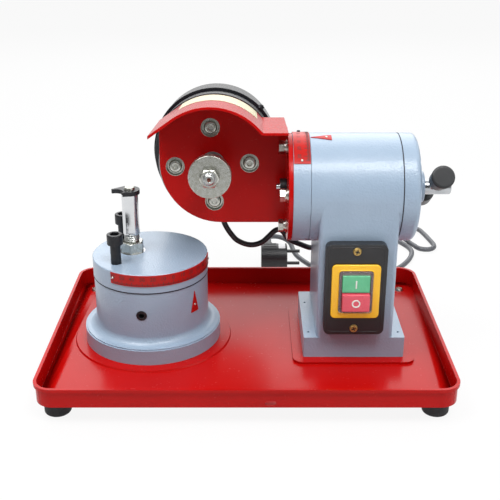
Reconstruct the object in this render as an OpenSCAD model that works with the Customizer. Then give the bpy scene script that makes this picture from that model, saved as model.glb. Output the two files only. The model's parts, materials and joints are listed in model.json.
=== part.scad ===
// Wet grinding sharpener for saw blades: a drip tray on rubber feet carries a swivelling blade
// table and a column, and the column's barrel holds a sliding, tilting head with the motor.

/* [Tray] */
// Width of the tray over its lip
tray_w = 450; // [430:1:560]
// Depth of the tray over its lip
tray_d = 314; // [300:1:400]
// Height of the tray's wall above its floor
tray_wall_h = 21; // [14:1:40]
// Thickness of the pressed sheet
tray_sheet = 1.5; // [1:0.1:3]
// Radius of the tray's corners
tray_corner_r = 22; // [12:1:40]
// Height of the rolled lip
lip_h = 4; // [2:0.5:8]
// How far the lip stands out of the wall
lip_out = 2; // [1:0.5:4]
// Height of the pressed round seat under the table
seat_h = 2; // [1:0.5:4]
// Height of the pressed plinth under the column
plinth_h = 3; // [1:0.5:5]
// Margin of the seat and the plinth around what stands on them
seat_margin = 12; // [6:1:14]
// Length of the drain slot
drain_len = 12; // [8:1:20]
// Height of the drain slot
drain_h = 5.5; // [4:0.5:8]

/* [Feet] */
// Diameter of a rubber foot
foot_d = 29; // [22:1:40]
// Height of a rubber foot
foot_h = 20.5; // [12:0.5:30]
// Distance of a foot's axis from the side of the tray
foot_inset_x = 22; // [20:1:30]
// Distance of a foot's axis from the front or back of the tray
foot_inset_y = 28; // [22:1:40]

/* [Table] */
// Table axis to the left of the tray's centre
table_left = 112.5; // [108:0.5:125]
// Table axis behind the tray's centre
table_back = 6; // [0:1:20]
// Radius of the pedestal's flange
pedestal_flange_r = 80; // [76:1:88]
// Height of the pedestal's flange
pedestal_flange_h = 19; // [12:1:26]
// Radius of the pedestal
pedestal_r = 66; // [62:1:70]
// Height of the pedestal
pedestal_h = 82.7; // [76:0.1:100]
// Radius of the swivel disc
disc_r = 66.5; // [63:0.5:72]
// Thickness of the swivel disc
disc_h = 22; // [18:1:30]
// Radius of the disc's spigot in the pedestal's bore
spigot_r = 48; // [42:1:52]
// Length of the disc's spigot
spigot_len = 44; // [34:1:48]
// Wall of the spigot
spigot_wall = 10; // [6:1:14]
// Height of the degree scale on the disc
scale_h = 13.3; // [8:0.1:16]
// Angle of the scale's middle from the front, towards the right
table_scale_angle = 28; // [0:1:45]
// Half of the angle that the table scale covers
table_scale_half = 63; // [50:1:80]
// Angle of the pointer on the pedestal
table_pointer_angle = 53; // [30:1:70]

/* [Stop post] */
// Stop post to the left of the table's axis
post_left = 21; // [18:1:28]
// Stop post behind the table's axis
post_back = 4.7; // [0:0.1:10]
// Diameter of the post's thread
post_thread_d = 16; // [14:1:18]
// Diameter of the post's bar
post_bar_d = 19; // [17.5:0.5:22]
// Width of the bar over its flats
post_flats = 16; // [14:0.5:17]
// Height of the post above the disc
post_h = 70; // [60:1:90]
// Thickness of the pawl
pawl_t = 5; // [3:0.5:8]
// Length of the pawl's beak from the post's axis
beak_len = 20.6; // [17:0.1:26]
// Distance of the two clamp screws from the table's axis, to the left
clamp_left = 35; // [34:0.5:42]
// Half of the distance between the two clamp screws
clamp_half = 32.5; // [28:0.5:36]
// Height of the clamp screws above the disc
clamp_h = 35.5; // [26:0.5:45]

/* [Column] */
// Left end of the barrel to the right of the tray's centre
barrel_right = 69; // [66:1:76]
// Barrel axis behind the tray's centre
barrel_back = 4; // [0:1:12]
// Barrel axis above the bench
barrel_z = 209.5; // [205:0.5:230]
// Radius of the barrel
barrel_r = 60.6; // [58:0.2:64]
// Length of the barrel
barrel_len = 98; // [92:1:110]
// Length of the end cap
cap_len = 19.7; // [14:0.1:26]
// Rounding of the cap's outer edge
cap_edge_r = 6; // [2:1:9]
// Width of the column
column_w = 86; // [80:1:92]
// Column's left side from the barrel's left end
column_step = 9.7; // [6:0.1:12]
// Wall of the column
column_wall = 8; // [6:1:12]
// Width of the column's foot
column_foot_w = 114.5; // [110:0.5:122]
// Height of the column's foot
column_foot_h = 25; // [18:1:30]

/* [Feed] */
// Radius of the sliding quill
quill_r = 44; // [40:1:46]
// Length of the quill
quill_len = 82.7; // [76:0.1:84]
// Travel of the quill
feed_travel = 15; // [8:1:20]
// Radius of the tilt journal in the quill
journal_r = 30; // [24:1:33]
// Length of the tilt journal
journal_len = 24; // [18:1:26]
// Diameter of the feed screw's thread
feed_thread_d = 16; // [12:1:20]
// Diameter of the handle's shaft
shaft_d = 17; // [15:0.5:20]
// Radius of the boss on the cap
cap_boss_r = 18; // [14:1:22]
// Length of the boss on the cap
cap_boss_len = 11.3; // [8:0.1:20]
// Length of shaft that stands out of the boss
shaft_out = 31; // [24:1:36]
// Distance from the shaft's axis to a knob's middle
knob_reach = 50; // [40:1:60]
// Diameter of a knob
knob_d = 25; // [18:1:30]
// Length of a knob
knob_len = 28; // [20:1:34]
// Diameter of the cross bar
cross_bar_d = 9; // [7:0.5:10]
// Angle of the cross bar from level at rest
cross_bar_angle = 28; // [0:1:90]

/* [Head] */
// Tilt of the head at rest, spindle end up
head_tilt = 7; // [0:1:12]
// Width of the tilt ring
ring_w = 18.7; // [14:0.1:24]
// Thickness of the bracket's flange
flange_t = 5; // [4:0.5:8]
// Thickness of the bracket's plate
plate_t = 8; // [7:0.5:10]
// Face of the plate behind the barrel's axis
plate_back = 19.3; // [16:0.1:22]
// Left edge of the plate from the bracket's flange
plate_w = 144.4; // [138:0.2:150]
// Lower edge of the plate below the barrel's axis
plate_drop = 46; // [42:1:52]
// Radius of the plate's lower left corner
plate_corner_r = 69.5; // [50:0.5:72]
// Thickness of the hood's sheet
hood_t = 3; // [2:0.5:4]
// Gap between the stator and the hood
hood_gap = 5; // [4:0.5:8]
// Top of the hood's flat part above the barrel's axis
hood_flat_z = 66; // [64.5:0.5:70]
// Front edge of the hood in front of the barrel's axis
hood_front = 38; // [30:1:48]
// Back edge of the hood behind the barrel's axis
hood_back = 95; // [80:1:95]
// Slope of the hood's straight tail
hood_tail_angle = 35; // [25:1:45]
// How far the tail reaches past the plate's edge
hood_tail_out = 6.7; // [2:0.1:12]
// Slope at which the hood's arch meets its flat part
hood_bend_angle = 46; // [40:1:50]
// Pitch circle of the flange bolts
flange_pcd = 90; // [84:1:94]

/* [Motor] */
// Motor axis from the bracket's flange, to the left
motor_left = 84.3; // [82:0.1:88]
// Motor axis above the barrel's axis
motor_up = 21.4; // [18:0.1:24]
// Radius of the motor's stator
stator_r = 64; // [58:1:66]
// How far the rear bell stands out of the stator
bell_out = 9.5; // [8:0.5:11]
// How far the black clamp ring stands out of the stator
clamp_ring_out = 13.5; // [13:0.5:16]
// How far the fan cowl stands out of the stator
cowl_out = 13; // [11.5:0.5:13]
// Length of the fan cowl
cowl_len = 68; // [56:1:80]
// Pitch circle of the motor bolts
motor_pcd = 85; // [80:1:90]
// Diameter of the counterbores over the motor bolts
counterbore_d = 20.8; // [18:0.2:24]
// Radius of the spindle
spindle_r = 8; // [7:0.5:9]
// Face of the outer wheel flange in front of the plate
wheel_seat_out = 75; // [68:1:82]
// Diameter of the wheel flanges
wheel_flange_d = 46; // [40:1:52]
// Thickness of one wheel flange
wheel_flange_t = 8; // [5:0.5:10]
// Diameter of the spindle's threaded end
spindle_end_d = 12; // [10:1:14]

/* [Switch] */
// Width of the switch plate
switch_w = 67; // [62:1:74]
// Height of the switch plate
switch_h = 108; // [100:1:112]
// Depth of the switch plate
switch_t = 12; // [9:1:16]
// Middle of the switch plate above the bench
switch_z = 114.4; // [110:0.1:118]
// Width of the yellow bezel
bezel_w = 53; // [52:1:60]
// Height of the yellow bezel
bezel_h = 64; // [60:1:68]
// Width of a push button
button_w = 30; // [24:1:32]
// Height of a push button
button_h = 20; // [16:0.5:20.5]
// Travel of a push button
button_travel = 3; // [2:0.5:4]

/* [Cord] */
// Diameter of the mains cord
cord_d = 7.4; // [6:0.2:7.6]
// Diameter of the motor's lead
lead_d = 6.6; // [5:0.2:7]
// Radius of the plug's body
plug_r = 20; // [18:0.5:20]
// Length of the plug's body along its pins
plug_len = 37; // [30:1:37]

/* [Fits] */
// Radial clearance of a running fit
run_gap = 0.05; // [0.02:0.01:0.1]
// Gap between faces that move past each other
face_gap = 0.3; // [0.2:0.05:0.5]

/* [Hidden] */
$fn = 72;

paint_blue = "#8c9bb2";
paint_red = "#c8201c";
scale_red = "#d63732";
steel = "#b8bcc0";
black = "#26272a";
brass = "#b98d3a";

// Radii of the motor and its hood
hood_r = stator_r + hood_gap + hood_t;
bell_r = stator_r + bell_out;
clamp_ring_r = stator_r + clamp_ring_out;
cowl_r = stator_r + cowl_out;
stator_wall = 6;
stator_bore_r = 36.5;
rotor_r = 36;
winding_r = 38;
winding_len = 9;
bell_clearance = 8;

// Plan positions, with the origin under the middle of the whole machine
cowl_front = hood_back + 35;
cowl_back = cowl_front + cowl_len;
cowl_edge_r = 10;
reach_right = barrel_right + barrel_len + cap_len + cap_boss_len + shaft_out;
reach_back = barrel_back + cowl_edge_r + cos(head_tilt) * (cowl_back - cowl_edge_r)
    + sin(head_tilt) * (motor_up + cowl_r - cowl_edge_r);
tray_x = (tray_w / 2 - reach_right) / 2;
tray_y = (tray_d / 2 - reach_back) / 2;
table_x = tray_x - table_left;
table_y = tray_y + table_back;
barrel_x0 = tray_x + barrel_right;
barrel_x1 = barrel_x0 + barrel_len;
barrel_y = tray_y + barrel_back;

// Tray and feet
floor_z = foot_h + tray_sheet;
rim_z = floor_z + tray_wall_h;
foot_screw_r = 3;
foot_screw_head_r = 5.5;
foot_screw_head_h = 2.6;
drain_x = tray_x + 25;

// Pedestal and swivel disc
pedestal_z = floor_z + seat_h;
pedestal_top = pedestal_z + pedestal_h;
disc_z = pedestal_top + face_gap;
disc_top = disc_z + disc_h;
bore_depth = spigot_len + 2;
web_t = 12;
pedestal_fillet_r = 9;
lock_angle = -4.3;
lock_z = pedestal_top - 27.5;
lock_r = 6;
label_t = 0.8;
pivot_r = 6;
pivot_boss_r = 15;
pivot_washer_r = 20;
mount_bolt_r = 4;
mount_bolt_len = 17;

// Stop post
post_x = table_x - post_left;
post_y = table_y + post_back;
post_thread_r = post_thread_d / 2;
post_engage = 20;
jam_nut_af = 24;
spot_depth = 0.3;
clamp_head_r = 9;
jam_nut_h = 13;
bar_z = disc_top + jam_nut_h + 9;
pawl_z = disc_top + post_h + face_gap;
pawl_bore_r = 4.3;
pawl_screw_r = 4;
pawl_screw_head_r = 6.5;
pawl_screw_head_h = 2.6;
clamp_thread_r = 5.9;

// Column
column_x0 = barrel_x0 + column_step;
column_x = column_x0 + column_w / 2;
column_d = 2 * barrel_r;
column_front = barrel_y - barrel_r;
column_z = floor_z + plinth_h;
column_edge_r = 5;
cavity_top = barrel_z - quill_r - 14;
cap_screw_pcd = barrel_r + quill_r;
key_x = barrel_x0 + 56;
key_r = 4;

// Feed and quill
quill_x0 = barrel_x0 + face_gap;
quill_x1 = quill_x0 + quill_len;
quill_web_x = quill_x0 + journal_len + 1;
quill_web_t = 12;
feed_nut_t = 5;
feed_nut_hub_r = 14;
feed_nut_hub_len = 13;
feed_thread_r = feed_thread_d / 2;
shaft_r = shaft_d / 2;
collar_r = 15;
collar_t = 5;
thrust_t = 12;
shaft_end = barrel_x1 + cap_len + cap_boss_len + shaft_out;
cross_bar_x = barrel_x1 + cap_len + cap_boss_len + shaft_out - 21;
stud_r = 6;
clamp_nut_r = 9.5;
clamp_nut_t = 7.5;
stub_r = 3.8;
stub_len = 4;

// Head, measured from the barrel's axis
ring_x0 = barrel_x0 - face_gap - ring_w;
flange_x0 = ring_x0 - flange_t;
motor_x = flange_x0 - motor_left;
plate_x0 = flange_x0 - plate_w;
plate_face_y = plate_back;
plate_rear_y = plate_back + plate_t;
flange_bolt_af = 13;
flange_bolt_head = 5.5;
flange_bolt_r = 4;
flange_washer_t = 1.6;
spring_washer_t = 2;
tilt_scale_angle = 16.5;
tilt_scale_half = 38.6;
barrel_pointer_angle = 9.5;

// Motor, along its own axis behind the plate
bolt_turn = 2.6;
counterbore_depth = 5;
motor_bolt_head_r = 7;
motor_bolt_r = 4;
front_bell_y1 = plate_rear_y + 18;
stator_y1 = hood_back - 2;
bell_y0 = hood_back + 1;
ring_y0 = hood_back + 30;
ring_y1 = cowl_front;
cowl_t = 2;
bearing_r = 17.5;
bearing_t = 11;
spindle_hole_r = 15;
wheel_seat_y = plate_back - wheel_seat_out;
nut_t = 10;
spindle_tip = 5.5;
fan_r = 60;
fan_t = 24;

// Switch, measured from the column's front
switch_x = column_x - 3;
switch_front = column_front - switch_t;
bezel_t = 3;
boot_w = button_w + 7;
boot_h = 2 * button_h + 10;
boot_out = 5;
block_w = boot_w + 6;
block_h = boot_h + 22;
block_d = 42;
bezel_z = switch_z - 0.4;
button_gap = 0.5;
start_out = 6;
stop_out = 11;
button_back = switch_t - 1 - button_travel;
switch_screw_z = switch_h / 2 - 7.8;

// Free mains cord. Points in plan are relative to the tray's centre, at the height of the cord's middle.
cord_r = cord_d / 2;
cord_sides = 8;
coil_at = [150, 228];
coil_r = 46;
coil_h = 2 * cord_d;
relief_end = 86;
gland_r = 9;
mains_gland = [104, 75];
lead_gland = [131, 98];
inlet_points = [[104, 86, 75], [104, 94, 75], [104, 104, 73.8], [104, 116, 70], [103.5, 132, 61],
    [103, 146, 53.5], [102.5, 160, 47], [102, 172, 38], [101.5, 183, 28], [101, 196, 18.5],
    [100.5, 210, 13.5]];
loop_points = [[185, 199, 4], [196, 212, 4], [208, 226, 4], [219, 238.5, 4], [229.3, 250.5, 4],
    [238, 263, 4], [245.5, 275.5, 4], [252, 289, 4], [255.5, 303, 4], [254.5, 316, 4], [249.5, 328.6, 4],
    [242.5, 340, 4], [234.5, 351.5, 4], [228, 364, 4], [224, 377, 4], [224.5, 391, 4], [231, 403.5, 4],
    [243, 411, 4], [256, 410, 4], [267.5, 402, 4], [275.5, 390, 4], [280.5, 376, 4], [284, 361, 4],
    [287.5, 346, 4], [290, 331, 4], [288, 318, 4], [279.5, 311, 4], [269.5, 315, 4], [262.5, 325.5, 4],
    [254.5, 336, 4.5], [246.5, 345, 7.5], [238.5, 352, 11.3], [229.5, 357.5, 11.9], [219.5, 361, 8.5],
    [208.5, 363.5, 5], [196, 364.5, 4], [181, 362, 4], [167, 354, 4], [154.5, 341, 4], [145, 325, 4],
    [136.5, 308, 4], [128, 291, 4], [119, 272, 4], [111, 254, 4]];
plug_points = [[103, 232, 4], [96, 245, 4], [88.5, 258, 4], [81, 272, 4], [75, 286, 4.5],
    [70.5, 299, 7], [68, 311, 10.5], [63, 321.5, 14], [54, 327, 17.5], [44.5, 324, 20.5],
    [37, 315, 23], [33, 304, 24.5], [32, 294, 24.5], [32, 286, 24.5]];
plug_at = [20, 245];
plug_exit_x = 12;
plug_exit_z = 24.5;
plug_relief_y = 286;
pin_r = 2.4;
pin_len = 19;
pin_half = 9.5;

// Motor's lead, in two halves that meet end to end beside the tilt ring
lead_r = lead_d / 2;
lead_joint = 11;
lead_gap = 0.15;
motor_gland_x = -28;
motor_gland_y = 60;
motor_gland_r = 7;
gland_len = 7;
gland_down = motor_up - stator_r - gland_len;
lead_start = [motor_gland_x,
    barrel_back + motor_gland_y * cos(head_tilt) + (gland_down - 0.2) * sin(head_tilt),
    barrel_z - motor_gland_y * sin(head_tilt) + (gland_down - 0.2) * cos(head_tilt)];
lead_down = [0, sin(head_tilt), cos(head_tilt)];
lead_points = [lead_start, lead_start - 5 * lead_down, [-25, 56.9, lead_start[2] - 12.3],
    [-19.6, 57, 131.6], [-12.3, 57, 123.2], [-1.3, 57, 117.9], [8.5, 57, 117.1], [18.3, 57, 120.5],
    [25.5, 57, 127.1], [31, 57, 132.9], [34.8, 57, 136], [38.6, 57, 137], [42.4, 57, 135.6],
    [45.6, 57, 131.6],
    [49, 57, 126.4], [56.1, 58, 121.2], [66.3, 62, 115.2], [76.8, 70, 108.1], [84, 82, 103.5],
    [93, 98, 100.5], [106, 108.5, 99], [119, 108, 98.2], [129, 100, 98], [131, 93, 98], [131, 86, 98]];

// ---------------------------------------------------------------- shared shapes

// Plate with round corners, standing on z = 0
module slab(w, d, h, r) {
    linear_extrude(h) {
        square([w - 2 * r, d], center = true);
        square([w, d - 2 * r], center = true);
        for (sx = [-1, 1], sy = [-1, 1])
            translate([sx * (w / 2 - r), sy * (d / 2 - r)]) circle(r);
    }
}

// Upright plate with round corners, its back at y = 0 and its front at y = -t
module panel(w, h, t, r) {
    rotate([90, 0, 0]) slab(w, h, t, r);
}

module along_x(x) {
    translate([x, 0, 0]) rotate([0, 90, 0]) children();
}

module along_y(y) {
    translate([0, y, 0]) rotate([-90, 0, 0]) children();
}

module at_tray() {
    translate([tray_x, tray_y, 0]) children();
}

module at_table() {
    translate([table_x, table_y, 0]) children();
}

module on_barrel_axis() {
    translate([0, barrel_y, barrel_z]) children();
}

module in_head() {
    on_barrel_axis() rotate([-head_tilt, 0, 0]) children();
}

// The motor's axis, pointing back
module on_motor_axis() {
    in_head() translate([motor_x, 0, motor_up]) children();
}

module hex(af, h) {
    cylinder(h = h, r = af / sqrt(3), $fn = 6);
}

module tube(r_out, r_in, h) {
    difference() {
        cylinder(h = h, r = r_out);
        translate([0, 0, -1]) cylinder(h = h + 2, r = r_in);
    }
}

// Disc along z with its far edge rounded
module domed_disc(r, h, edge) {
    rotate_extrude() {
        square([r - edge, h]);
        square([r, h - edge]);
        translate([r - edge, h - edge]) intersection() {
            circle(edge);
            square(edge);
        }
    }
}

// Curved strip about z, from angle a0 to a1 counted from the front towards the right
module strip(r_in, r_out, h, a0, a1) {
    rotate([0, 0, a0 - 90]) rotate_extrude(angle = a1 - a0) translate([r_in, 0]) square([r_out - r_in, h]);
}

// Thin triangle wrapped on a cylinder about z, its point up at z = h
module wrapped_pointer(r, w, h) {
    intersection() {
        tube(r + label_t, r, h);
        rotate([90, 0, 0]) linear_extrude(2 * r) polygon([[-w / 2, 0], [w / 2, 0], [0, h]]);
    }
}

module foot_places() {
    at_tray() for (sx = [-1, 1], sy = [-1, 1])
        translate([sx * (tray_w / 2 - foot_inset_x), sy * (tray_d / 2 - foot_inset_y), 0]) children();
}

module table_bolt_places() {
    at_table() for (a = [45:90:315]) rotate([0, 0, a])
        translate([(pedestal_r + pedestal_flange_r) / 2 - 3, 0, 0]) children();
}

module column_bolt_places() {
    translate([column_x, barrel_y, 0]) for (sx = [-1, 1], sy = [-1, 1])
        translate([sx * (column_foot_w / 2 - 9), sy * (column_d / 2 - 12), 0]) children();
}

module flange_bolt_places() {
    in_head() for (a = [0:90:270]) rotate([a, 0, 0]) translate([0, 0, flange_pcd / 2]) children();
}

module motor_bolt_places() {
    on_motor_axis() for (a = [0:90:270]) rotate([0, a - bolt_turn, 0])
        translate([0, 0, motor_pcd / 2]) children();
}

// ---------------------------------------------------------------- cords

function unit(v) = v / norm(v);
function lead_tangents() =
    [for (i = [0:len(lead_points) - 1]) i == lead_joint ? [1, 0, 0] : tangents(lead_points)[i]];
function tangents(p) = [for (i = [0:len(p) - 1]) unit(p[min(i + 1, len(p) - 1)] - p[max(i - 1, 0)])];
function part_of(p, i0, i1) = [for (i = [i0:i1]) p[i]];
function ring_points(c, t, r, sides, ref) =
    let (n = unit(cross(t, ref)), b = cross(n, t))
    [for (k = [0:sides - 1]) c + r * (cos(360 * k / sides) * n + sin(360 * k / sides) * b)];

// Tube swept along points, with a ring square to each tangent
module sweep(points, tangents, r, sides, ref) {
    n = len(points);
    rings = [for (i = [0:n - 1]) each ring_points(points[i], tangents[i], r, sides, ref)];
    walls = [for (i = [0:n - 2], k = [0:sides - 1])
        let (a = i * sides + k, b = i * sides + (k + 1) % sides)
        [a, a + sides, b + sides, b]];
    ends = [[for (k = [0:sides - 1]) k], [for (k = [sides - 1:-1:0]) (n - 1) * sides + k]];
    polyhedron(points = rings, faces = concat(walls, ends), convexity = 6);
}

// ---------------------------------------------------------------- tray and feet

// The four corners of the wall, above the floor, where the pressed sheet is welded
module tray_corner_blocks() {
    at_tray() for (sx = [-1, 1], sy = [-1, 1])
        translate([sx * (tray_w / 2 - tray_corner_r / 2 + 1), sy * (tray_d / 2 - tray_corner_r / 2 + 1),
            floor_z + tray_wall_h])
            cube([tray_corner_r + 2, tray_corner_r + 2, 2 * tray_wall_h], center = true);
}

module tray() {
    difference() {
        tray_shell();
        tray_corner_blocks();
    }
}

module tray_corners() {
    intersection() {
        tray_shell();
        tray_corner_blocks();
    }
}

module tray_shell() {
    wall_w = tray_w - 2 * lip_out;
    wall_d = tray_d - 2 * lip_out;
    plinth_w = column_foot_w + 2 * seat_margin;
    plinth_d = column_d + 2 * seat_margin;
    color(paint_red) difference() {
        union() {
            at_tray() difference() {
                union() {
                    translate([0, 0, foot_h])
                        slab(wall_w, wall_d, tray_wall_h + tray_sheet, tray_corner_r - lip_out);
                    translate([0, 0, rim_z - lip_h]) slab(tray_w, tray_d, lip_h, tray_corner_r);
                }
                translate([0, 0, floor_z])
                    slab(wall_w - 2 * tray_sheet, wall_d - 2 * tray_sheet, tray_wall_h + 1,
                        tray_corner_r - lip_out - tray_sheet);
            }
            at_table() translate([0, 0, foot_h])
                cylinder(h = seat_h + tray_sheet, r1 = pedestal_flange_r + seat_margin + 2,
                    r2 = pedestal_flange_r + seat_margin);
            translate([column_x, barrel_y, foot_h])
                slab(plinth_w, plinth_d, plinth_h + tray_sheet, seat_margin);
        }
        at_table() translate([0, 0, foot_h - 1])
            cylinder(h = seat_h + 1, r = pedestal_flange_r + seat_margin - 2);
        translate([column_x, barrel_y, foot_h - 1])
            slab(plinth_w - 4, plinth_d - 4, plinth_h + 1, seat_margin - 2);
        foot_places() cylinder(h = rim_z, r = foot_screw_r + run_gap);
        table_bolt_places() cylinder(h = rim_z, r = mount_bolt_r + run_gap);
        column_bolt_places() cylinder(h = rim_z, r = mount_bolt_r + run_gap);
        translate([drain_x, tray_y - tray_d / 2 + 2 * lip_out, floor_z + drain_h / 2 + 1])
            panel(drain_len, drain_h, 4 * lip_out, drain_h / 2.01);
    }
}

module feet() {
    color(black) foot_places() difference() {
        union() {
            cylinder(h = 2, r1 = foot_d / 2 - 1.5, r2 = foot_d / 2);
            translate([0, 0, 2]) cylinder(h = foot_h - 2, r = foot_d / 2);
        }
        translate([0, 0, foot_h - 14]) cylinder(h = 20, r = foot_screw_r + run_gap);
        translate([0, 0, -1]) cylinder(h = 4, r = foot_screw_head_r);
    }
}

module foot_screws() {
    color(steel) foot_places() {
        translate([0, 0, foot_h - 13]) cylinder(h = 13 + tray_sheet, r = foot_screw_r);
        difference() {
            translate([0, 0, floor_z])
                cylinder(h = foot_screw_head_h, r1 = foot_screw_head_r, r2 = foot_screw_head_r - 1.5);
            translate([-4, -0.6, floor_z + foot_screw_head_h - 1]) cube([8, 1.2, 2]);
            translate([-0.6, -4, floor_z + foot_screw_head_h - 1]) cube([1.2, 8, 2]);
        }
    }
}

// Bolts that hold the pedestal and the column to the tray, entered from below
module mount_bolts() {
    color(steel) {
        table_bolt_places() translate([0, 0, foot_h + seat_h]) mount_bolt();
        column_bolt_places() translate([0, 0, foot_h + plinth_h]) mount_bolt();
    }
}

module mount_bolt() {
    cylinder(h = mount_bolt_len, r = mount_bolt_r);
    translate([0, 0, -1.6]) cylinder(h = 1.6, r = 8);
    translate([0, 0, -6.9]) hex(13, 5.4);
}

// ---------------------------------------------------------------- table

module pedestal() {
    color(paint_blue) difference() {
        at_table() translate([0, 0, pedestal_z]) rotate_extrude() difference() {
            union() {
                square([pedestal_flange_r - 1.5, pedestal_flange_h]);
                square([pedestal_flange_r, pedestal_flange_h - 1.5]);
                square([pedestal_r, pedestal_h]);
                translate([pedestal_r, pedestal_flange_h]) difference() {
                    square(pedestal_fillet_r);
                    translate([pedestal_fillet_r, pedestal_fillet_r]) circle(pedestal_fillet_r);
                }
            }
            translate([0, pedestal_h - bore_depth]) square([spigot_r + run_gap, bore_depth + 1]);
            translate([0, -1]) square([pedestal_r - 10, pedestal_h - bore_depth - web_t + 1]);
            translate([0, -1]) square([pivot_r + 0.5, pedestal_h]);
        }
        at_table() translate([0, 0, lock_z]) rotate([0, 0, lock_angle]) rotate([90, 0, 0])
            cylinder(h = pedestal_r + 5, r = lock_r + run_gap);
        table_bolt_places() cylinder(h = pedestal_z + mount_bolt_len - 1, r = mount_bolt_r + run_gap);
    }
}

module lock_screw() {
    len_in = pedestal_r + 0.5 - spigot_r - face_gap;
    color(black) at_table() translate([0, 0, lock_z]) rotate([0, 0, lock_angle]) rotate([90, 0, 0])
        translate([0, 0, spigot_r + face_gap]) difference() {
            cylinder(h = len_in, r = lock_r);
            translate([0, 0, len_in - 6]) hex(6, 7);
        }
}

module table_pointer() {
    color(scale_red) at_table() translate([0, 0, pedestal_top - 34.5]) rotate([0, 0, table_pointer_angle])
        wrapped_pointer(pedestal_r, 12.5, 26);
}

module swivel_disc() {
    color(paint_blue) difference() {
        at_table() {
            translate([0, 0, disc_z]) cylinder(h = disc_h - 0.8, r = disc_r);
            translate([0, 0, disc_top - 0.8]) cylinder(h = 0.8, r1 = disc_r, r2 = disc_r - 0.8);
            translate([0, 0, disc_z - spigot_len]) tube(spigot_r, spigot_r - spigot_wall, spigot_len + 1);
            translate([0, 0, disc_z - spigot_len]) cylinder(h = spigot_len + 1, r = pivot_boss_r);
        }
        at_table() translate([0, 0, disc_z - spigot_len - 1]) cylinder(h = 24, r = pivot_r + run_gap);
        translate([post_x, post_y, disc_top - post_engage - 6]) cylinder(h = 40, r = post_thread_r + run_gap);
        for (s = [-1, 1]) translate([table_x - clamp_left, table_y + s * clamp_half, disc_top - 16])
            cylinder(h = 20, r = clamp_thread_r + run_gap);
        translate([post_x, post_y, disc_top - spot_depth]) cylinder(h = 1, r = jam_nut_af / sqrt(3) + 0.6);
    }
}

module table_scale() {
    color(scale_red) at_table() translate([0, 0, disc_top - 0.8 - scale_h])
        strip(disc_r, disc_r + label_t, scale_h, table_scale_angle - table_scale_half,
            table_scale_angle + table_scale_half);
}

module clamp_screws() {
    color(black) for (s = [-1, 1]) translate([table_x - clamp_left, table_y + s * clamp_half, disc_top])
        difference() {
            union() {
                translate([0, 0, -14]) cylinder(h = clamp_h + 2, r = clamp_thread_r);
                translate([0, 0, clamp_h - 12]) cylinder(h = 11.3, r = clamp_head_r);
                translate([0, 0, clamp_h - 0.7])
                    cylinder(h = 0.7, r1 = clamp_head_r, r2 = clamp_head_r - 0.7);
            }
            translate([0, 0, clamp_h - 6]) hex(10, 7);
        }
}

module jam_nut() {
    color(steel) translate([post_x, post_y, disc_top - spot_depth]) difference() {
        intersection() {
            rotate([0, 0, 30]) hex(jam_nut_af, jam_nut_h);
            union() {
                cylinder(h = jam_nut_h - 2, r = jam_nut_af);
                translate([0, 0, jam_nut_h - 2])
                    cylinder(h = 2, r1 = jam_nut_af / 2 + 2.6, r2 = jam_nut_af / 2 - 0.6);
            }
        }
        translate([0, 0, -1]) cylinder(h = jam_nut_h + 2, r = post_thread_r + run_gap);
    }
}

module pivot_screw() {
    washer_z = pedestal_top - bore_depth - web_t - face_gap - 3;
    color(steel) at_table() {
        translate([0, 0, washer_z]) cylinder(h = 3, r = pivot_washer_r);
        translate([0, 0, washer_z]) cylinder(h = disc_z - spigot_len + 20 - washer_z, r = pivot_r);
        translate([0, 0, washer_z - 7.5]) hex(19, 7.5);
    }
}

// ---------------------------------------------------------------- stop post

module stop_post() {
    color(steel) translate([post_x, post_y, 0]) difference() {
        union() {
            translate([0, 0, disc_top - post_engage])
                cylinder(h = bar_z - disc_top + post_engage, r = post_thread_r);
            intersection() {
                translate([0, 0, bar_z]) cylinder(h = disc_top + post_h - bar_z, r = post_bar_d / 2);
                translate([-post_bar_d, -post_flats / 2, 0])
                    cube([2 * post_bar_d, post_flats, 2 * barrel_z]);
            }
        }
        translate([0, 0, disc_top + post_h - 15]) cylinder(h = 20, r = pawl_screw_r + run_gap);
        translate([-4, -post_flats / 2 - 1, bar_z + 6]) cube([1.4, 3, 9]);
    }
}

module pawl() {
    body_r = 11.6;
    color(black) translate([post_x, post_y, pawl_z]) difference() {
        linear_extrude(pawl_t) difference() {
            union() {
                circle(body_r);
                polygon([[-beak_len, 0.5], [-7, body_r], [0, body_r], [3, 0],
                    [0, -body_r], [-6, -body_r - 1]]);
            }
            translate([-beak_len + 5, -9.5]) circle(9.5);
        }
        translate([0, 0, -1]) cylinder(h = pawl_t + 2, r = pawl_bore_r);
    }
}

module pawl_screw() {
    color(steel) translate([post_x, post_y, pawl_z]) difference() {
        union() {
            translate([0, 0, -14]) cylinder(h = 14 + pawl_t + face_gap, r = pawl_screw_r);
            translate([0, 0, pawl_t + face_gap])
                cylinder(h = pawl_screw_head_h, r1 = pawl_screw_head_r, r2 = pawl_screw_head_r - 1);
        }
        translate([-pawl_screw_head_r - 1, -0.8, pawl_t + face_gap + pawl_screw_head_h - 1.2])
            cube([2 * pawl_screw_head_r + 2, 1.6, 2]);
    }
}

// ---------------------------------------------------------------- column and barrel

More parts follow.
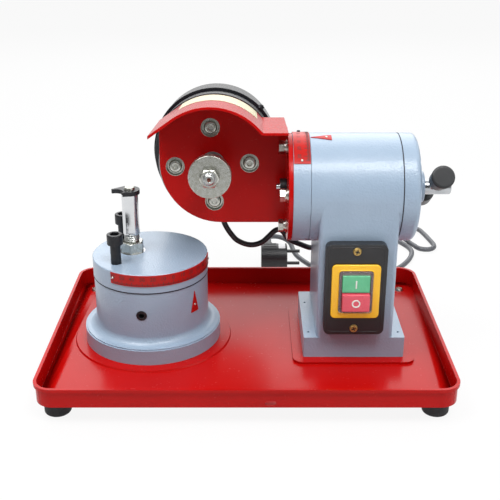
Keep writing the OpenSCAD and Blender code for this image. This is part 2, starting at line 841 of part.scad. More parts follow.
module column() {
    color(paint_blue) difference() {
        union() {
            translate([column_x, barrel_y, column_z]) slab(column_foot_w, column_d, column_foot_h, 2);
            translate([column_x, barrel_y, column_z])
                slab(column_w, column_d, barrel_z - column_z, column_edge_r);
            on_barrel_axis() along_x(barrel_x0) cylinder(h = barrel_len, r = barrel_r);
        }
        translate([column_x, barrel_y, column_z - 1])
            slab(column_w - 2 * column_wall, column_d - 2 * column_wall, cavity_top - column_z + 1, 4);
        on_barrel_axis() along_x(barrel_x0 - 1) cylinder(h = barrel_len + 2, r = quill_r + run_gap);
        translate([switch_x, column_front + column_wall + 1, bezel_z])
            panel(block_w + 2 * face_gap, block_h + 2 * face_gap, column_wall + 2, 2);
        for (s = [-1, 1]) translate([switch_x, column_front + 7, switch_z + s * switch_screw_z])
            rotate([90, 0, 0]) cylinder(h = 9, r = 2 + run_gap);
        column_bolt_places() cylinder(h = column_z + mount_bolt_len - 1, r = mount_bolt_r + run_gap);
        on_barrel_axis() for (a = [45:90:315]) rotate([a, 0, 0]) translate([0, 0, cap_screw_pcd / 2])
            along_x(barrel_x1 - 14) cylinder(h = 16, r = 3 + run_gap);
        translate([key_x, barrel_y + quill_r - 2, barrel_z]) along_y(0) cylinder(h = 30, r = key_r + run_gap);
        for (p = [mains_gland, lead_gland])
            translate([tray_x + p[0], column_front + column_d - column_wall - 1, p[1]]) along_y(0)
                cylinder(h = column_wall + 2, r = 6 + run_gap);
        translate([column_x, barrel_y, column_z + column_foot_h - 5]) for (s = [-1, 1], y = [-47, 30])
            translate([s * (column_foot_w / 2 - 6), y, 0]) cylinder(h = 10, r = 1.5);
    }
}

module barrel_cap() {
    color(paint_blue) on_barrel_axis() difference() {
        union() {
            along_x(barrel_x1) domed_disc(barrel_r, cap_len, cap_edge_r);
            along_x(barrel_x1 + cap_len - 1) domed_disc(cap_boss_r, cap_boss_len + 1, 2);
        }
        along_x(barrel_x1 - 1) cylinder(h = cap_len + cap_boss_len + 2, r = shaft_r + run_gap);
        for (a = [45:90:315]) rotate([a, 0, 0]) translate([0, 0, cap_screw_pcd / 2]) {
            along_x(barrel_x1 - 1) cylinder(h = cap_len + 2, r = 3 + run_gap);
            along_x(barrel_x1 + cap_len - 7) cylinder(h = 8, r = 5.6);
        }
        for (a = [0:120:240]) rotate([a, 0, 0]) translate([0, 0, 29]) along_x(barrel_x1 - 1)
            cylinder(h = 10, r = 2.5 + run_gap);
    }
}

module cap_screws() {
    color(black) on_barrel_axis() {
        for (a = [45:90:315]) rotate([a, 0, 0]) translate([0, 0, cap_screw_pcd / 2]) difference() {
            union() {
                along_x(barrel_x1 - 12) cylinder(h = 12 + cap_len - 7, r = 3);
                along_x(barrel_x1 + cap_len - 7) cylinder(h = 6, r = 5);
            }
            along_x(barrel_x1 + cap_len - 4) hex(5, 4);
        }
        for (a = [0:120:240]) rotate([a, 0, 0]) translate([0, 0, 29]) {
            along_x(barrel_x1 - thrust_t) cylinder(h = thrust_t + 8, r = 2.5);
            along_x(barrel_x1 - thrust_t - 2.5) cylinder(h = 2.5, r = 4.5);
        }
    }
}

// Cup that holds the feed screw's collar against the cap
module thrust_plate() {
    color(steel) on_barrel_axis() difference() {
        along_x(barrel_x1 - thrust_t) cylinder(h = thrust_t, r = quill_r - 0.5);
        along_x(barrel_x1 - thrust_t - 1) cylinder(h = thrust_t + 2, r = feed_thread_r + run_gap);
        along_x(barrel_x1 - collar_t - 2 * face_gap) cylinder(h = thrust_t, r = collar_r + face_gap);
        for (a = [0:120:240]) rotate([a, 0, 0]) translate([0, 0, 29]) along_x(barrel_x1 - thrust_t - 1)
            cylinder(h = thrust_t + 2, r = 2.5 + run_gap);
    }
}

module key_screw() {
    color(steel) translate([key_x, barrel_y + quill_r - 4, barrel_z]) along_y(0) difference() {
        cylinder(h = barrel_r - quill_r + 3, r = key_r);
        translate([0, 0, barrel_r - quill_r - 1]) hex(4, 5);
    }
}

module barrel_pointer() {
    color(scale_red) on_barrel_axis() rotate([barrel_pointer_angle, 0, 0]) intersection() {
        along_x(barrel_x0) tube(barrel_r + label_t, barrel_r, 24);
        linear_extrude(2 * barrel_r)
            polygon([[barrel_x0 + 0.5, 0], [barrel_x0 + 23.5, -6.5], [barrel_x0 + 23.5, 6.5]]);
    }
}

// ---------------------------------------------------------------- feed

module feed_screw() {
    thread_x0 = quill_x1 - feed_travel - feed_nut_t - feed_nut_hub_len - 1;
    color(steel) on_barrel_axis() difference() {
        union() {
            along_x(thread_x0) cylinder(h = barrel_x1 - thread_x0 - 1, r = feed_thread_r - run_gap);
            along_x(barrel_x1 - collar_t - face_gap) cylinder(h = collar_t, r = collar_r);
            along_x(barrel_x1 - 1) cylinder(h = shaft_end - barrel_x1, r = shaft_r);
            along_x(shaft_end - 1) cylinder(h = 1, r1 = shaft_r, r2 = shaft_r - 1);
        }
        rotate([-cross_bar_angle, 0, 0]) translate([cross_bar_x, -shaft_d, 0]) along_y(0)
            cylinder(h = 2 * shaft_d, r = cross_bar_d / 2);
    }
}

module cross_bar() {
    bar_half = knob_reach - knob_len / 2 + 10;
    color(steel) on_barrel_axis() rotate([-cross_bar_angle, 0, 0]) translate([cross_bar_x, -bar_half, 0])
        along_y(0) cylinder(h = 2 * bar_half, r = cross_bar_d / 2);
}

module knobs() {
    color(black) on_barrel_axis() rotate([-cross_bar_angle, 0, 0]) translate([cross_bar_x, 0, 0])
        for (a = [0, 180]) rotate([a, 0, 0]) along_y(knob_reach - knob_len / 2) difference() {
            union() {
                cylinder(h = knob_len - 3, r1 = knob_d / 2 - 2, r2 = knob_d / 2);
                translate([0, 0, knob_len - 3]) domed_disc(knob_d / 2, 3, 2.5);
            }
            translate([0, 0, -1]) cylinder(h = 11, r = cross_bar_d / 2);
        }
}

module quill() {
    color(steel) on_barrel_axis() difference() {
        along_x(quill_x0) cylinder(h = quill_len, r = quill_r);
        along_x(quill_x0 - 1) cylinder(h = journal_len + 2, r = journal_r + run_gap);
        along_x(quill_x0) cylinder(h = quill_len, r = stud_r);
        along_x(quill_web_x + quill_web_t) cylinder(h = quill_len, r = journal_r);
        along_x(quill_x1 - feed_nut_t) cylinder(h = feed_nut_t + 1, r = quill_r - 6);
        translate([key_x - key_r - face_gap, quill_r - 5, -key_r - 0.1])
            cube([feed_travel + 2 * (key_r + face_gap), 10, 2 * key_r + 0.2]);
    }
}

module feed_nut() {
    color(brass) on_barrel_axis() difference() {
        union() {
            along_x(quill_x1 - feed_nut_t) cylinder(h = feed_nut_t, r = quill_r - 6);
            along_x(quill_x1 - feed_nut_t - feed_nut_hub_len)
                cylinder(h = feed_nut_hub_len + 1, r = feed_nut_hub_r);
        }
        along_x(quill_x1 - 2 * feed_nut_hub_len) cylinder(h = 4 * feed_nut_hub_len, r = feed_thread_r);
    }
}

module clamp_stud() {
    stud_x0 = flange_x0 - face_gap - clamp_nut_t;
    color(steel) on_barrel_axis() {
        along_x(stud_x0) cylinder(h = quill_web_x + quill_web_t - stud_x0, r = stud_r - run_gap);
        along_x(stud_x0 - stub_len) cylinder(h = stub_len + 1, r = stub_r);
    }
}

module clamp_nut() {
    color(black) on_barrel_axis() difference() {
        along_x(flange_x0 - face_gap - clamp_nut_t) cylinder(h = clamp_nut_t, r = clamp_nut_r);
        along_x(flange_x0 - 20) cylinder(h = 30, r = stud_r);
    }
}

// ---------------------------------------------------------------- head

module tilt_ring() {
    color(paint_blue) difference() {
        in_head() {
            along_x(ring_x0) cylinder(h = ring_w, r = barrel_r);
            along_x(ring_x0 + 1) cylinder(h = ring_w - 1 + 2 * face_gap + journal_len, r = journal_r);
        }
        in_head() along_x(ring_x0 - 1) cylinder(h = 80, r = stud_r + face_gap);
        flange_bolt_places() along_x(ring_x0 - 1) cylinder(h = 15, r = flange_bolt_r + run_gap);
    }
}

module tilt_scale() {
    color(scale_red) in_head() rotate([tilt_scale_angle, 0, 0]) rotate([0, 90, 0])
        translate([0, 0, ring_x0 + 0.4]) rotate([0, 0, -90])
            strip(barrel_r, barrel_r + label_t, ring_w - 0.8, -tilt_scale_half, tilt_scale_half);
}

function arc_points(c, r, a0, a1, n) =
    [for (i = [0:n]) let (a = a0 + (a1 - a0) * i / n) c + r * [sin(a), cos(a)]];

// Outline of the hood's outer or inner face, left to right, in x and z
function hood_line(r, flat_z) =
    let (c = [motor_x, motor_up],
        tail = c + r * [-sin(hood_tail_angle), cos(hood_tail_angle)],
        tail_x = plate_x0 - hood_tail_out,
        bend = c + r * [sin(hood_bend_angle), cos(hood_bend_angle)],
        drop = bend[1] - flat_z)
    concat([[tail_x, tail[1] - (tail[0] - tail_x) * tan(hood_tail_angle)]],
        arc_points(c, r, -hood_tail_angle, hood_bend_angle, 24),
        [[bend[0] + drop / tan(hood_bend_angle), flat_z], [flange_x0, flat_z]]);

function reversed(p) = [for (i = [len(p) - 1:-1:0]) p[i]];

module hood_section() {
    polygon(concat(hood_line(hood_r, hood_flat_z),
        reversed(hood_line(hood_r - hood_t, hood_flat_z - hood_t))));
}

module plate_section() {
    inner = hood_line(hood_r - hood_t, hood_flat_z - hood_t);
    corner = [plate_x0 + plate_corner_r, -plate_drop + plate_corner_r];
    edge_z = motor_up + (hood_r - hood_t) * cos(hood_tail_angle)
        - (motor_x - (hood_r - hood_t) * sin(hood_tail_angle) - plate_x0) * tan(hood_tail_angle);
    polygon(concat([[plate_x0, corner[1]], [plate_x0, edge_z + 1]],
        [for (i = [1:len(inner) - 1]) inner[i] + [0, 1]],
        [[flange_x0 + 1, hood_flat_z - hood_t + 1], [flange_x0 + 1, -plate_drop]],
        arc_points(corner, plate_corner_r, 180, 270, 16)));
}

module head_bracket() {
    color(paint_red) difference() {
        in_head() {
            translate([0, hood_back, 0]) rotate([90, 0, 0])
                linear_extrude(hood_back + hood_front) hood_section();
            translate([0, plate_rear_y, 0]) rotate([90, 0, 0]) linear_extrude(plate_t) plate_section();
            along_x(flange_x0) cylinder(h = flange_t, r = barrel_r - 0.6);
        }
        in_head() along_x(flange_x0 - 1) cylinder(h = flange_t + 2, r = stud_r + face_gap);
        on_motor_axis() along_y(plate_face_y - 1) cylinder(h = plate_t + 2, r = spindle_hole_r);
        flange_bolt_places() along_x(flange_x0 - 1) cylinder(h = flange_t + 2, r = flange_bolt_r + run_gap);
        motor_bolt_places() {
            along_y(plate_face_y - 1) cylinder(h = plate_t + 2, r = motor_bolt_r + run_gap);
            along_y(plate_face_y - 1) cylinder(h = counterbore_depth + 1, r = counterbore_d / 2);
        }
    }
}

module flange_bolts() {
    head_x = flange_x0 - flange_washer_t - spring_washer_t;
    color(steel) flange_bolt_places() {
        along_x(head_x - flange_bolt_head) hex(flange_bolt_af, flange_bolt_head);
        along_x(head_x - 1) cylinder(h = flange_x0 + flange_t + 11 - head_x, r = flange_bolt_r);
        along_x(head_x) cylinder(h = spring_washer_t, r = 6.6);
        along_x(flange_x0 - flange_washer_t) cylinder(h = flange_washer_t, r = 8);
    }
}

module motor_bolts() {
    color(steel) motor_bolt_places() along_y(plate_face_y + counterbore_depth - 4.5) {
        cylinder(h = 4.5, r1 = motor_bolt_head_r - 1, r2 = motor_bolt_head_r);
        cylinder(h = 20, r = motor_bolt_r);
    }
}

module front_bell() {
    color(paint_blue) difference() {
        on_motor_axis() {
            along_y(plate_rear_y) cylinder(h = front_bell_y1 - plate_rear_y, r = stator_r - 2);
        }
        on_motor_axis() along_y(plate_rear_y - 1) cylinder(h = 40, r = spindle_r + 1);
        on_motor_axis() along_y(front_bell_y1 - bearing_t) cylinder(h = 20, r = bearing_r + run_gap);
        on_motor_axis() along_y(plate_rear_y + 12) difference() {
            cylinder(h = 20, r = stator_r - 8);
            translate([0, 0, -1]) cylinder(h = 22, r = bearing_r + 6);
        }
        motor_bolt_places() along_y(plate_rear_y - 1) cylinder(h = 13.6, r = motor_bolt_r + run_gap);
    }
}

module stator_body() {
    color(steel) on_motor_axis() along_y(front_bell_y1)
        tube(stator_r, stator_r - stator_wall, stator_y1 - front_bell_y1);
}

module stator_core() {
    color("#70757a") on_motor_axis() along_y(front_bell_y1 + 10)
        tube(stator_r - stator_wall, stator_bore_r, stator_y1 - front_bell_y1 - 20);
}

module windings() {
    color(brass) on_motor_axis() {
        along_y(front_bell_y1 + 1) tube(stator_r - stator_wall - 3, winding_r, winding_len);
        along_y(stator_y1 - winding_len - 1) tube(stator_r - stator_wall - 3, winding_r, winding_len);
    }
}

module rear_bell() {
    color(steel) on_motor_axis() difference() {
        union() {
            along_y(stator_y1) cylinder(h = bell_y0 - stator_y1 + 1, r = stator_r);
            along_y(bell_y0) cylinder(h = ring_y0 - bell_y0, r = bell_r);
        }
        along_y(stator_y1 - 1) cylinder(h = ring_y0, r = spindle_r + 1);
        along_y(stator_y1 - 1) cylinder(h = 8, r = stator_r - stator_wall);
        along_y(bell_y0 + 8) cylinder(h = bearing_t, r = bearing_r + run_gap);
        along_y(bell_y0 + 8 + bearing_t) cylinder(h = 40, r = bell_r - 6);
    }
}

module clamp_ring() {
    color(black) on_motor_axis() along_y(ring_y0) tube(clamp_ring_r, bell_r - 12, ring_y1 - ring_y0);
}

module fan_cowl() {
    color(paint_blue) on_motor_axis() along_y(cowl_front) difference() {
        domed_disc(cowl_r, cowl_len, cowl_edge_r);
        translate([0, 0, -cowl_t]) domed_disc(cowl_r - cowl_t, cowl_len, cowl_edge_r - cowl_t);
        for (ring = [24, 36, 48], k = [0:11]) rotate([0, 0, 30 * k + ring])
            translate([ring, 0, cowl_len - 2 * cowl_t]) cylinder(h = 3 * cowl_t, r = 3.4);
    }
}

module motor_bearings() {
    color(steel) on_motor_axis() {
        along_y(front_bell_y1 - bearing_t) tube(bearing_r, spindle_r + run_gap, bearing_t);
        along_y(bell_y0 + 8) tube(bearing_r, spindle_r + run_gap, bearing_t);
    }
}

module motor_gland() {
    color(black) difference() {
        in_head() translate([tray_x + motor_gland_x, motor_gland_y, gland_down])
            cylinder(h = 2 * gland_len, r = motor_gland_r);
        on_motor_axis() along_y(0) cylinder(h = hood_back, r = stator_r);
    }
}

module motor_lead() {
    all_tangents = lead_tangents();
    points = part_of(lead_points, 0, lead_joint);
    joint = points[lead_joint] - lead_gap * all_tangents[lead_joint];
    color(black) at_tray() sweep(concat(part_of(points, 0, lead_joint - 1), [joint]),
        part_of(all_tangents, 0, lead_joint), lead_r, cord_sides, [0, 1, 0]);
}

module column_lead() {
    last = len(lead_points) - 1;
    all_tangents = lead_tangents();
    joint = lead_points[lead_joint] + lead_gap * all_tangents[lead_joint];
    color(black) at_tray() sweep(concat([joint], part_of(lead_points, lead_joint + 1, last)),
        part_of(all_tangents, lead_joint, last), lead_r, cord_sides, [0, 0, 1]);
}

// ---------------------------------------------------------------- spindle

module spindle() {
    tip_y = wheel_seat_y - nut_t - spindle_tip;
    shoulder_y = wheel_seat_y + 2 * wheel_flange_t;
    color(steel) on_motor_axis() {
        along_y(tip_y + 2) cylinder(h = shoulder_y - tip_y, r = spindle_end_d / 2);
        along_y(tip_y) cylinder(h = 2, r1 = spindle_end_d / 2 - 2, r2 = spindle_end_d / 2);
        along_y(shoulder_y) cylinder(h = plate_face_y - 2 - shoulder_y, r = spindle_r + 3);
        along_y(shoulder_y + 1) cylinder(h = ring_y1 + fan_t + 8 - shoulder_y, r = spindle_r);
    }
}

module rotor_core() {
    color(steel) on_motor_axis() along_y(front_bell_y1 + 8)
        tube(rotor_r, spindle_r, stator_y1 - front_bell_y1 - 16);
}

module fan() {
    color(black) on_motor_axis() along_y(ring_y1 + 6) {
        tube(18, spindle_r, fan_t);
        tube(fan_r, 17, 3);
        for (a = [0:45:315]) rotate([0, 0, a]) translate([17.5, -1.5, 0]) cube([fan_r - 18, 3, fan_t]);
    }
}

module wheel_flanges() {
    color(steel) on_motor_axis() {
        along_y(wheel_seat_y) tube(wheel_flange_d / 2, spindle_end_d / 2, wheel_flange_t - 0.2);
        along_y(wheel_seat_y + wheel_flange_t) tube(wheel_flange_d / 2, spindle_end_d / 2, wheel_flange_t);
    }
}

module spindle_nut() {
    color(steel) on_motor_axis() along_y(wheel_seat_y - nut_t) difference() {
        intersection() {
            hex(19, nut_t);
            union() {
                cylinder(h = 2, r1 = 8.9, r2 = 11.5);
                translate([0, 0, 2]) cylinder(h = nut_t, r = 14);
            }
        }
        translate([0, 0, -1]) cylinder(h = nut_t + 2, r = spindle_end_d / 2);
    }
}

// ---------------------------------------------------------------- switch

module at_switch(z) {
    translate([switch_x, column_front, z]) children();
}

module switch_plate() {
    color(black) at_switch(switch_z) difference() {
        panel(switch_w, switch_h, switch_t, 7);
        translate([0, 1, bezel_z - switch_z]) panel(boot_w, boot_h, switch_t + 2, 3);
        for (s = [-1, 1]) translate([0, 1, s * switch_screw_z]) rotate([90, 0, 0])
            cylinder(h = switch_t + 2, r = 2 + run_gap);
    }
}

module switch_bezel() {
    color("#f4b81e") at_switch(bezel_z) translate([0, -switch_t, 0]) difference() {
        panel(bezel_w, bezel_h, bezel_t, 5);
        translate([0, 1, 0]) panel(boot_w, boot_h, bezel_t + 2, 3);
    }
}

// Clear frame around the buttons
module switch_boot() {
    color([0.6, 0.58, 0.6]) at_switch(bezel_z) translate([0, -2, 0]) difference() {
        panel(boot_w, boot_h, switch_t - 2 + boot_out, 3);
        translate([0, 1, 0])
            panel(button_w + 2 * button_gap, 2 * button_h + 3 * button_gap, switch_t + boot_out + 2, 1);
    }
}

module switch_block() {
    color(black) at_switch(bezel_z) translate([0, block_d, 0]) panel(block_w, block_h, block_d, 2);
}

module switch_screws() {
    color(brass) at_switch(switch_z) for (s = [-1, 1]) translate([0, -switch_t, s * switch_screw_z])
        difference() {
            union() {
                along_y(-2.2) cylinder(h = 2.2, r1 = 3.8, r2 = 4.8);
                along_y(-1) cylinder(h = switch_t + 6, r = 2);
            }
            translate([-3, -3, -0.5]) cube([6, 1.8, 1]);
            translate([-0.5, -3, -3]) cube([1, 1.8, 6]);
        }
}

module push_button(out, z) {
    depth = out + switch_t - 1 - button_travel;
    at_switch(bezel_z + z) translate([0, -1 - button_travel, 0]) panel(button_w, button_h, depth, 1);
}

module start_button() {
    color("#5abe8c") push_button(start_out, (button_h + button_gap) / 2);
}

module stop_button() {
    color("#d9525c") push_button(stop_out, -(button_h + button_gap) / 2);
}

// ---------------------------------------------------------------- mains cord

module cord_glands() {
    color(black) for (p = [mains_gland, lead_gland])
        translate([tray_x + p[0], column_front + column_d, p[1]]) {
            along_y(-column_wall) cylinder(h = column_wall + 1, r = 6);
            along_y(0) hex(20, 6);
            along_y(6) cylinder(h = 6, r = gland_r);
            along_y(12)
                cylinder(h = relief_end - barrel_back - barrel_r - 12, r1 = gland_r, r2 = cord_r + 1.5);
        }
}

module mains_cord() {
    color(black) at_tray() for (p = [inlet_points, loop_points, plug_points])
        sweep(p, tangents(p), cord_r, cord_sides, [0, 0, 1]);
}

module mains_coil() {
    color(black) at_tray() translate([coil_at[0], coil_at[1], 0])
        tube(coil_r + cord_d, coil_r - cord_d, coil_h);
}

module plug() {
    color(black) at_tray() translate([plug_at[0], plug_at[1], plug_r]) {
        along_x(0) cylinder(h = plug_len, r = plug_r);
        translate([plug_exit_x, 0, plug_exit_z - plug_r]) {
            along_y(0) cylinder(h = plug_r + 5, r = 9);
            along_y(plug_r + 5)
                cylinder(h = plug_relief_y - plug_at[1] - plug_r - 5, r1 = 7, r2 = cord_r + 0.8);
        }
    }
    color(steel) at_tray() translate([plug_at[0], plug_at[1], plug_r]) for (s = [-1, 1])
        translate([0, 0, s * pin_half]) along_x(plug_len) cylinder(h = pin_len, r = pin_r);
}

// ---------------------------------------------------------------- nodes

tray();
tray_corners();
feet();
foot_screws();
mount_bolts();
pedestal();
lock_screw();
table_pointer();
column();
barrel_cap();
cap_screws();
thrust_plate();
key_screw();
barrel_pointer();
switch_plate();
switch_bezel();
switch_boot();
switch_block();
switch_screws();
cord_glands();
mains_cord();
mains_coil();
plug();
column_lead();
swivel_disc();
table_scale();
clamp_screws();
jam_nut();
pivot_screw();
stop_post();
pawl_screw();
pawl();
feed_screw();
cross_bar();
knobs();
quill();
feed_nut();
clamp_stud();
clamp_nut();
tilt_ring();
tilt_scale();
head_bracket();
flange_bolts();
motor_bolts();
front_bell();
stator_body();
stator_core();
windings();
rear_bell();
clamp_ring();
fan_cowl();
motor_gland();
motor_lead();
motor_bearings();
spindle();
rotor_core();
fan();
wheel_flanges();
spindle_nut();
start_button();
stop_button();
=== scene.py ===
"""Visual model of a wet grinding sharpener for circular saw blades.

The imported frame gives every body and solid. Each class below dresses one sub-assembly:
it casts the solids with broken edges, adds the small parts that the solids leave out,
and gives each surface the finish that the real part has. Sizes are in millimetres.
"""
import json
import logging
import math
from collections.abc import Iterator, Sequence
from contextlib import contextmanager
from dataclasses import dataclass, field
from enum import Enum
from functools import cache
from itertools import product

import bmesh
import bpy
from mathutils import Matrix, Vector


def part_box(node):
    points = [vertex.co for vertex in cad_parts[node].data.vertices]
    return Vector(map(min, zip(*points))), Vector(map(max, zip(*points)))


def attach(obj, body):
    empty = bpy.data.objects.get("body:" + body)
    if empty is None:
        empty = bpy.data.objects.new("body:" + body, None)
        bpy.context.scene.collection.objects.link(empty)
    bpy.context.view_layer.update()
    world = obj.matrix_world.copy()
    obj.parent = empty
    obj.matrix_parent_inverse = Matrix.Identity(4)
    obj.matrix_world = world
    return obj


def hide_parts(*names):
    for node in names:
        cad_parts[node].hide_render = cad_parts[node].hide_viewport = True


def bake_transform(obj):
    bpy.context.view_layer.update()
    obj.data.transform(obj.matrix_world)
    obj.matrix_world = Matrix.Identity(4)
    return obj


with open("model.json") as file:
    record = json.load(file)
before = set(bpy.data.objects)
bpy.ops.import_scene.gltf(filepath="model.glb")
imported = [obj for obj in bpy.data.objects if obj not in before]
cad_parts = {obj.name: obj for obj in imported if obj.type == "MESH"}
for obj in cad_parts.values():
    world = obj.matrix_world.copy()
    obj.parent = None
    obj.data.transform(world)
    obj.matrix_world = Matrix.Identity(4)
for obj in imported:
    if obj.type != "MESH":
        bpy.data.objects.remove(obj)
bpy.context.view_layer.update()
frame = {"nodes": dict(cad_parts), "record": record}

MM = 0.001
PER_M = 1000.0
WELD = 0.02 * MM  # Points closer than this count as one.
BODIES: dict[str, list[str]] = frame["record"]["behaviour"]["bodies"]
log = logging.getLogger("sharpener")

Piece = bpy.types.Object
Tree = bpy.types.NodeTree
Socket = bpy.types.NodeSocket
Point = tuple[float, float, float]
Flat = tuple[float, float]
Faces = list[list[int]]


# ------------------------------------------------------------------ small helpers


def colour(text: str) -> tuple[float, float, float, float]:
    """Turns an sRGB hex colour into linear values.

    Args:
        text: Colour such as "#8C9BB2".

    Returns:
        Linear red, green, blue and an alpha of one.
    """
    parts = [int(text[i : i + 2], 16) / 255 for i in (1, 3, 5)]
    linear = [p / 12.92 if p <= 0.04045 else ((p + 0.055) / 1.055) ** 2.4 for p in parts]
    return (*linear, 1.0)


def add(tree: Tree, kind: str, inputs: dict | None = None, **settings) -> bpy.types.Node:
    """Adds a node with its settings and links.

    Args:
        tree: The tree that gets the node.
        kind: The node's type name.
        inputs: Socket name or number to a value, or to an output socket that feeds it.
        **settings: Properties of the node, such as operation.

    Returns:
        The new node.
    """
    node = tree.nodes.new(kind)
    for name, value in settings.items():
        setattr(node, name, value)
    for key, value in (inputs or {}).items():
        if isinstance(value, Socket):
            tree.links.new(value, node.inputs[key])
        else:
            node.inputs[key].default_value = value
    return node


def link(name: str, data: bpy.types.ID) -> Piece:
    """Puts a new object into the scene.

    Args:
        name: Its name.
        data: Its mesh, curve, lamp or camera.

    Returns:
        The object, at the origin.
    """
    thing = bpy.data.objects.new(name, data)
    bpy.context.scene.collection.objects.link(thing)
    return thing


def shift(x: float = 0.0, y: float = 0.0, z: float = 0.0) -> Matrix:
    """Returns a move in millimetres."""
    return Matrix.Translation((x, y, z))


def turn(degrees: float, axis: str) -> Matrix:
    """Returns a turn about one axis through the origin."""
    return Matrix.Rotation(math.radians(degrees), 4, axis)


@contextmanager
def edited(mesh: bpy.types.Mesh, weld: bool = True) -> Iterator[bmesh.types.BMesh]:
    """Opens a mesh for changes and writes it back at the end.

    Args:
        mesh: The mesh.
        weld: Whether points that nearly coincide become one first.

    Yields:
        The mesh, ready for changes.
    """
    work = bmesh.new()
    work.from_mesh(mesh)
    if weld:
        bmesh.ops.remove_doubles(work, verts=work.verts, dist=WELD)
    yield work
    work.to_mesh(mesh)
    work.free()


def join_flats(work: bmesh.types.BMesh, degrees: float = 0.6) -> None:
    """Joins neighbouring faces that lie flat together.

    Args:
        work: The open mesh.
        degrees: Largest angle between faces that are joined.
    """
    bmesh.ops.dissolve_limit(
        work, angle_limit=math.radians(degrees), verts=work.verts, edges=work.edges, delimit={"NORMAL"}
    )


def make(
    name: str,
    points: Sequence[Sequence[float]],
    faces: Sequence[Sequence[int]],
    place: Matrix | None = None,
    crease: float = 32.0,
    close: bool = True,
) -> Piece:
    """Makes a mesh piece with its place in its mesh.

    Args:
        name: Piece name.
        points: Corners in millimetres.
        faces: Corner numbers of each face.
        place: Where the piece goes, in millimetres.
        crease: Angle in degrees from which an edge stays sharp.
        close: Whether points are welded and all faces turned outward.

    Returns:
        The new object, at the origin.
    """
    mesh = bpy.data.meshes.new(name)
    mesh.from_pydata([tuple(p) for p in points], [], [tuple(f) for f in faces])
    mesh.transform(Matrix.Scale(MM, 4) @ (place or Matrix.Identity(4)))
    if close:
        with edited(mesh) as work:
            bmesh.ops.recalc_face_normals(work, faces=work.faces)
    mesh.shade_smooth()
    mesh.set_sharp_from_angle(angle=math.radians(crease))
    return link(name, mesh)


def settle(piece: Piece) -> Piece:
    """Turns the result of a piece's modifiers into a plain mesh.

    Args:
        piece: Object with modifiers.

    Returns:
        The same object, without modifiers.
    """
    bpy.context.view_layer.update()
    depsgraph = bpy.context.evaluated_depsgraph_get()
    mesh = bpy.data.meshes.new_from_object(piece.evaluated_get(depsgraph), depsgraph=depsgraph)
    piece.modifiers.clear()
    old, piece.data = piece.data, mesh
    mesh.name = piece.name
    bpy.data.meshes.remove(old)
    return piece


def break_edges(piece: Piece, width: float, steps: int = 2, angle: float = 34.0) -> Piece:
    """Rounds a piece's sharp edges and evens its shading.

    Args:
        piece: The piece.
        width: Width of the broken edge in millimetres.
        steps: Faces across the edge.
        angle: Smallest angle in degrees that counts as an edge.

    Returns:
        The same piece.
    """
    for polygon in piece.data.polygons:
        polygon.use_smooth = True
    bevel = piece.modifiers.new("edge", "BEVEL")
    bevel.width = width * MM
    bevel.segments = steps
    bevel.limit_method = "ANGLE"
    bevel.angle_limit = math.radians(angle)
    even = piece.modifiers.new("even", "WEIGHTED_NORMAL")
    even.keep_sharp = True
    even.weight = 80
    return settle(piece)


def ring_faces(count: int, steps: int, closed: bool) -> Faces:
    """Faces between rings of points.

    Args:
        count: Points in each ring.
        steps: Number of rings.
        closed: Whether each ring closes on itself.

    Returns:
        Quads between neighbouring rings.
    """
    around = count if closed else count - 1
    return [
        [r * count + k, r * count + (k + 1) % count, (r + 1) * count + (k + 1) % count, (r + 1) * count + k]
        for r in range(steps - 1)
        for k in range(around)
    ]


def lathe(profile: Sequence[Flat], steps: int = 64) -> tuple[list[Point], Faces]:
    """Turns a profile about the Z axis.

    Args:
        profile: Radius and height of each point, in millimetres.
        steps: Faces round the axis.

    Returns:
        Points and faces, whose poles are closed where the profile meets the axis.
    """
    angles = [2 * math.pi * k / steps for k in range(steps)]
    points = [(r * math.cos(a), r * math.sin(a), z) for a in angles for r, z in profile]
    n = len(profile)
    faces = [
        [k * n + i, ((k + 1) % steps) * n + i, ((k + 1) % steps) * n + i + 1, k * n + i + 1]
        for k in range(steps)
        for i in range(n - 1)
    ]
    return points, faces


def prism(outline: Sequence[Flat], low: float, high: float) -> tuple[list[Point], Faces]:
    """Raises a flat outline into a solid.

    Args:
        outline: Corners in plan, in millimetres.
        low: Lower height.
        high: Upper height.

    Returns:
        Points and faces.
    """
    n = len(outline)
    points = [(x, y, low) for x, y in outline] + [(x, y, high) for x, y in outline]
    faces = [[i, (i + 1) % n, n + (i + 1) % n, n + i] for i in range(n)]
    return points, faces + [list(range(n))[::-1], list(range(n, 2 * n))]


def body_with(node: str) -> str:
    """Returns the body that carries a solid."""
    return next(body for body, nodes in BODIES.items() if node in nodes)


# ------------------------------------------------------------------ finishes


class Slot(Enum):
    """Material slots of the part."""

    RED = "red_paint"
    BLUE = "blue_paint"
    SCALE = "scale_red"
    RUBBER = "rubber"
    STEEL = "steel"
    CHROME = "chrome"
    BLACK = "black_steel"
    ALUMINIUM = "aluminium"
    BRASS = "brass"
    PLASTIC = "black_plastic"
    YELLOW = "yellow_plastic"
    CLEAR = "clear_boot"
    GREEN = "green_button"
    STOP = "red_button"


def noise(tree: Tree, where: Socket, grains: float, detail: float) -> Socket:
    """Adds a soft noise.

    Args:
        tree: The material's tree.
        where: Place on the object, in metres.
        grains: Grains to the metre.
        detail: Finer layers over the first.

    Returns:
        The noise, mostly from 0.3 to 0.7.
    """
    inputs = {"Vector": where, "Scale": grains, "Detail": detail}
    return add(tree, "ShaderNodeTexNoise", inputs).outputs["Fac"]


def fitted(tree: Tree, value: Socket, given: Flat, wanted: Flat) -> Socket:
    """Stretches one range of values onto another, and holds it there.

    Args:
        tree: The tree.
        value: The values.
        given: Their range.
        wanted: The range that they become.

    Returns:
        The new values.
    """
    ends = dict(zip((1, 2, 3, 4), (*given, *wanted)))
    return add(tree, "ShaderNodeMapRange", {0: value, **ends}).outputs[0]


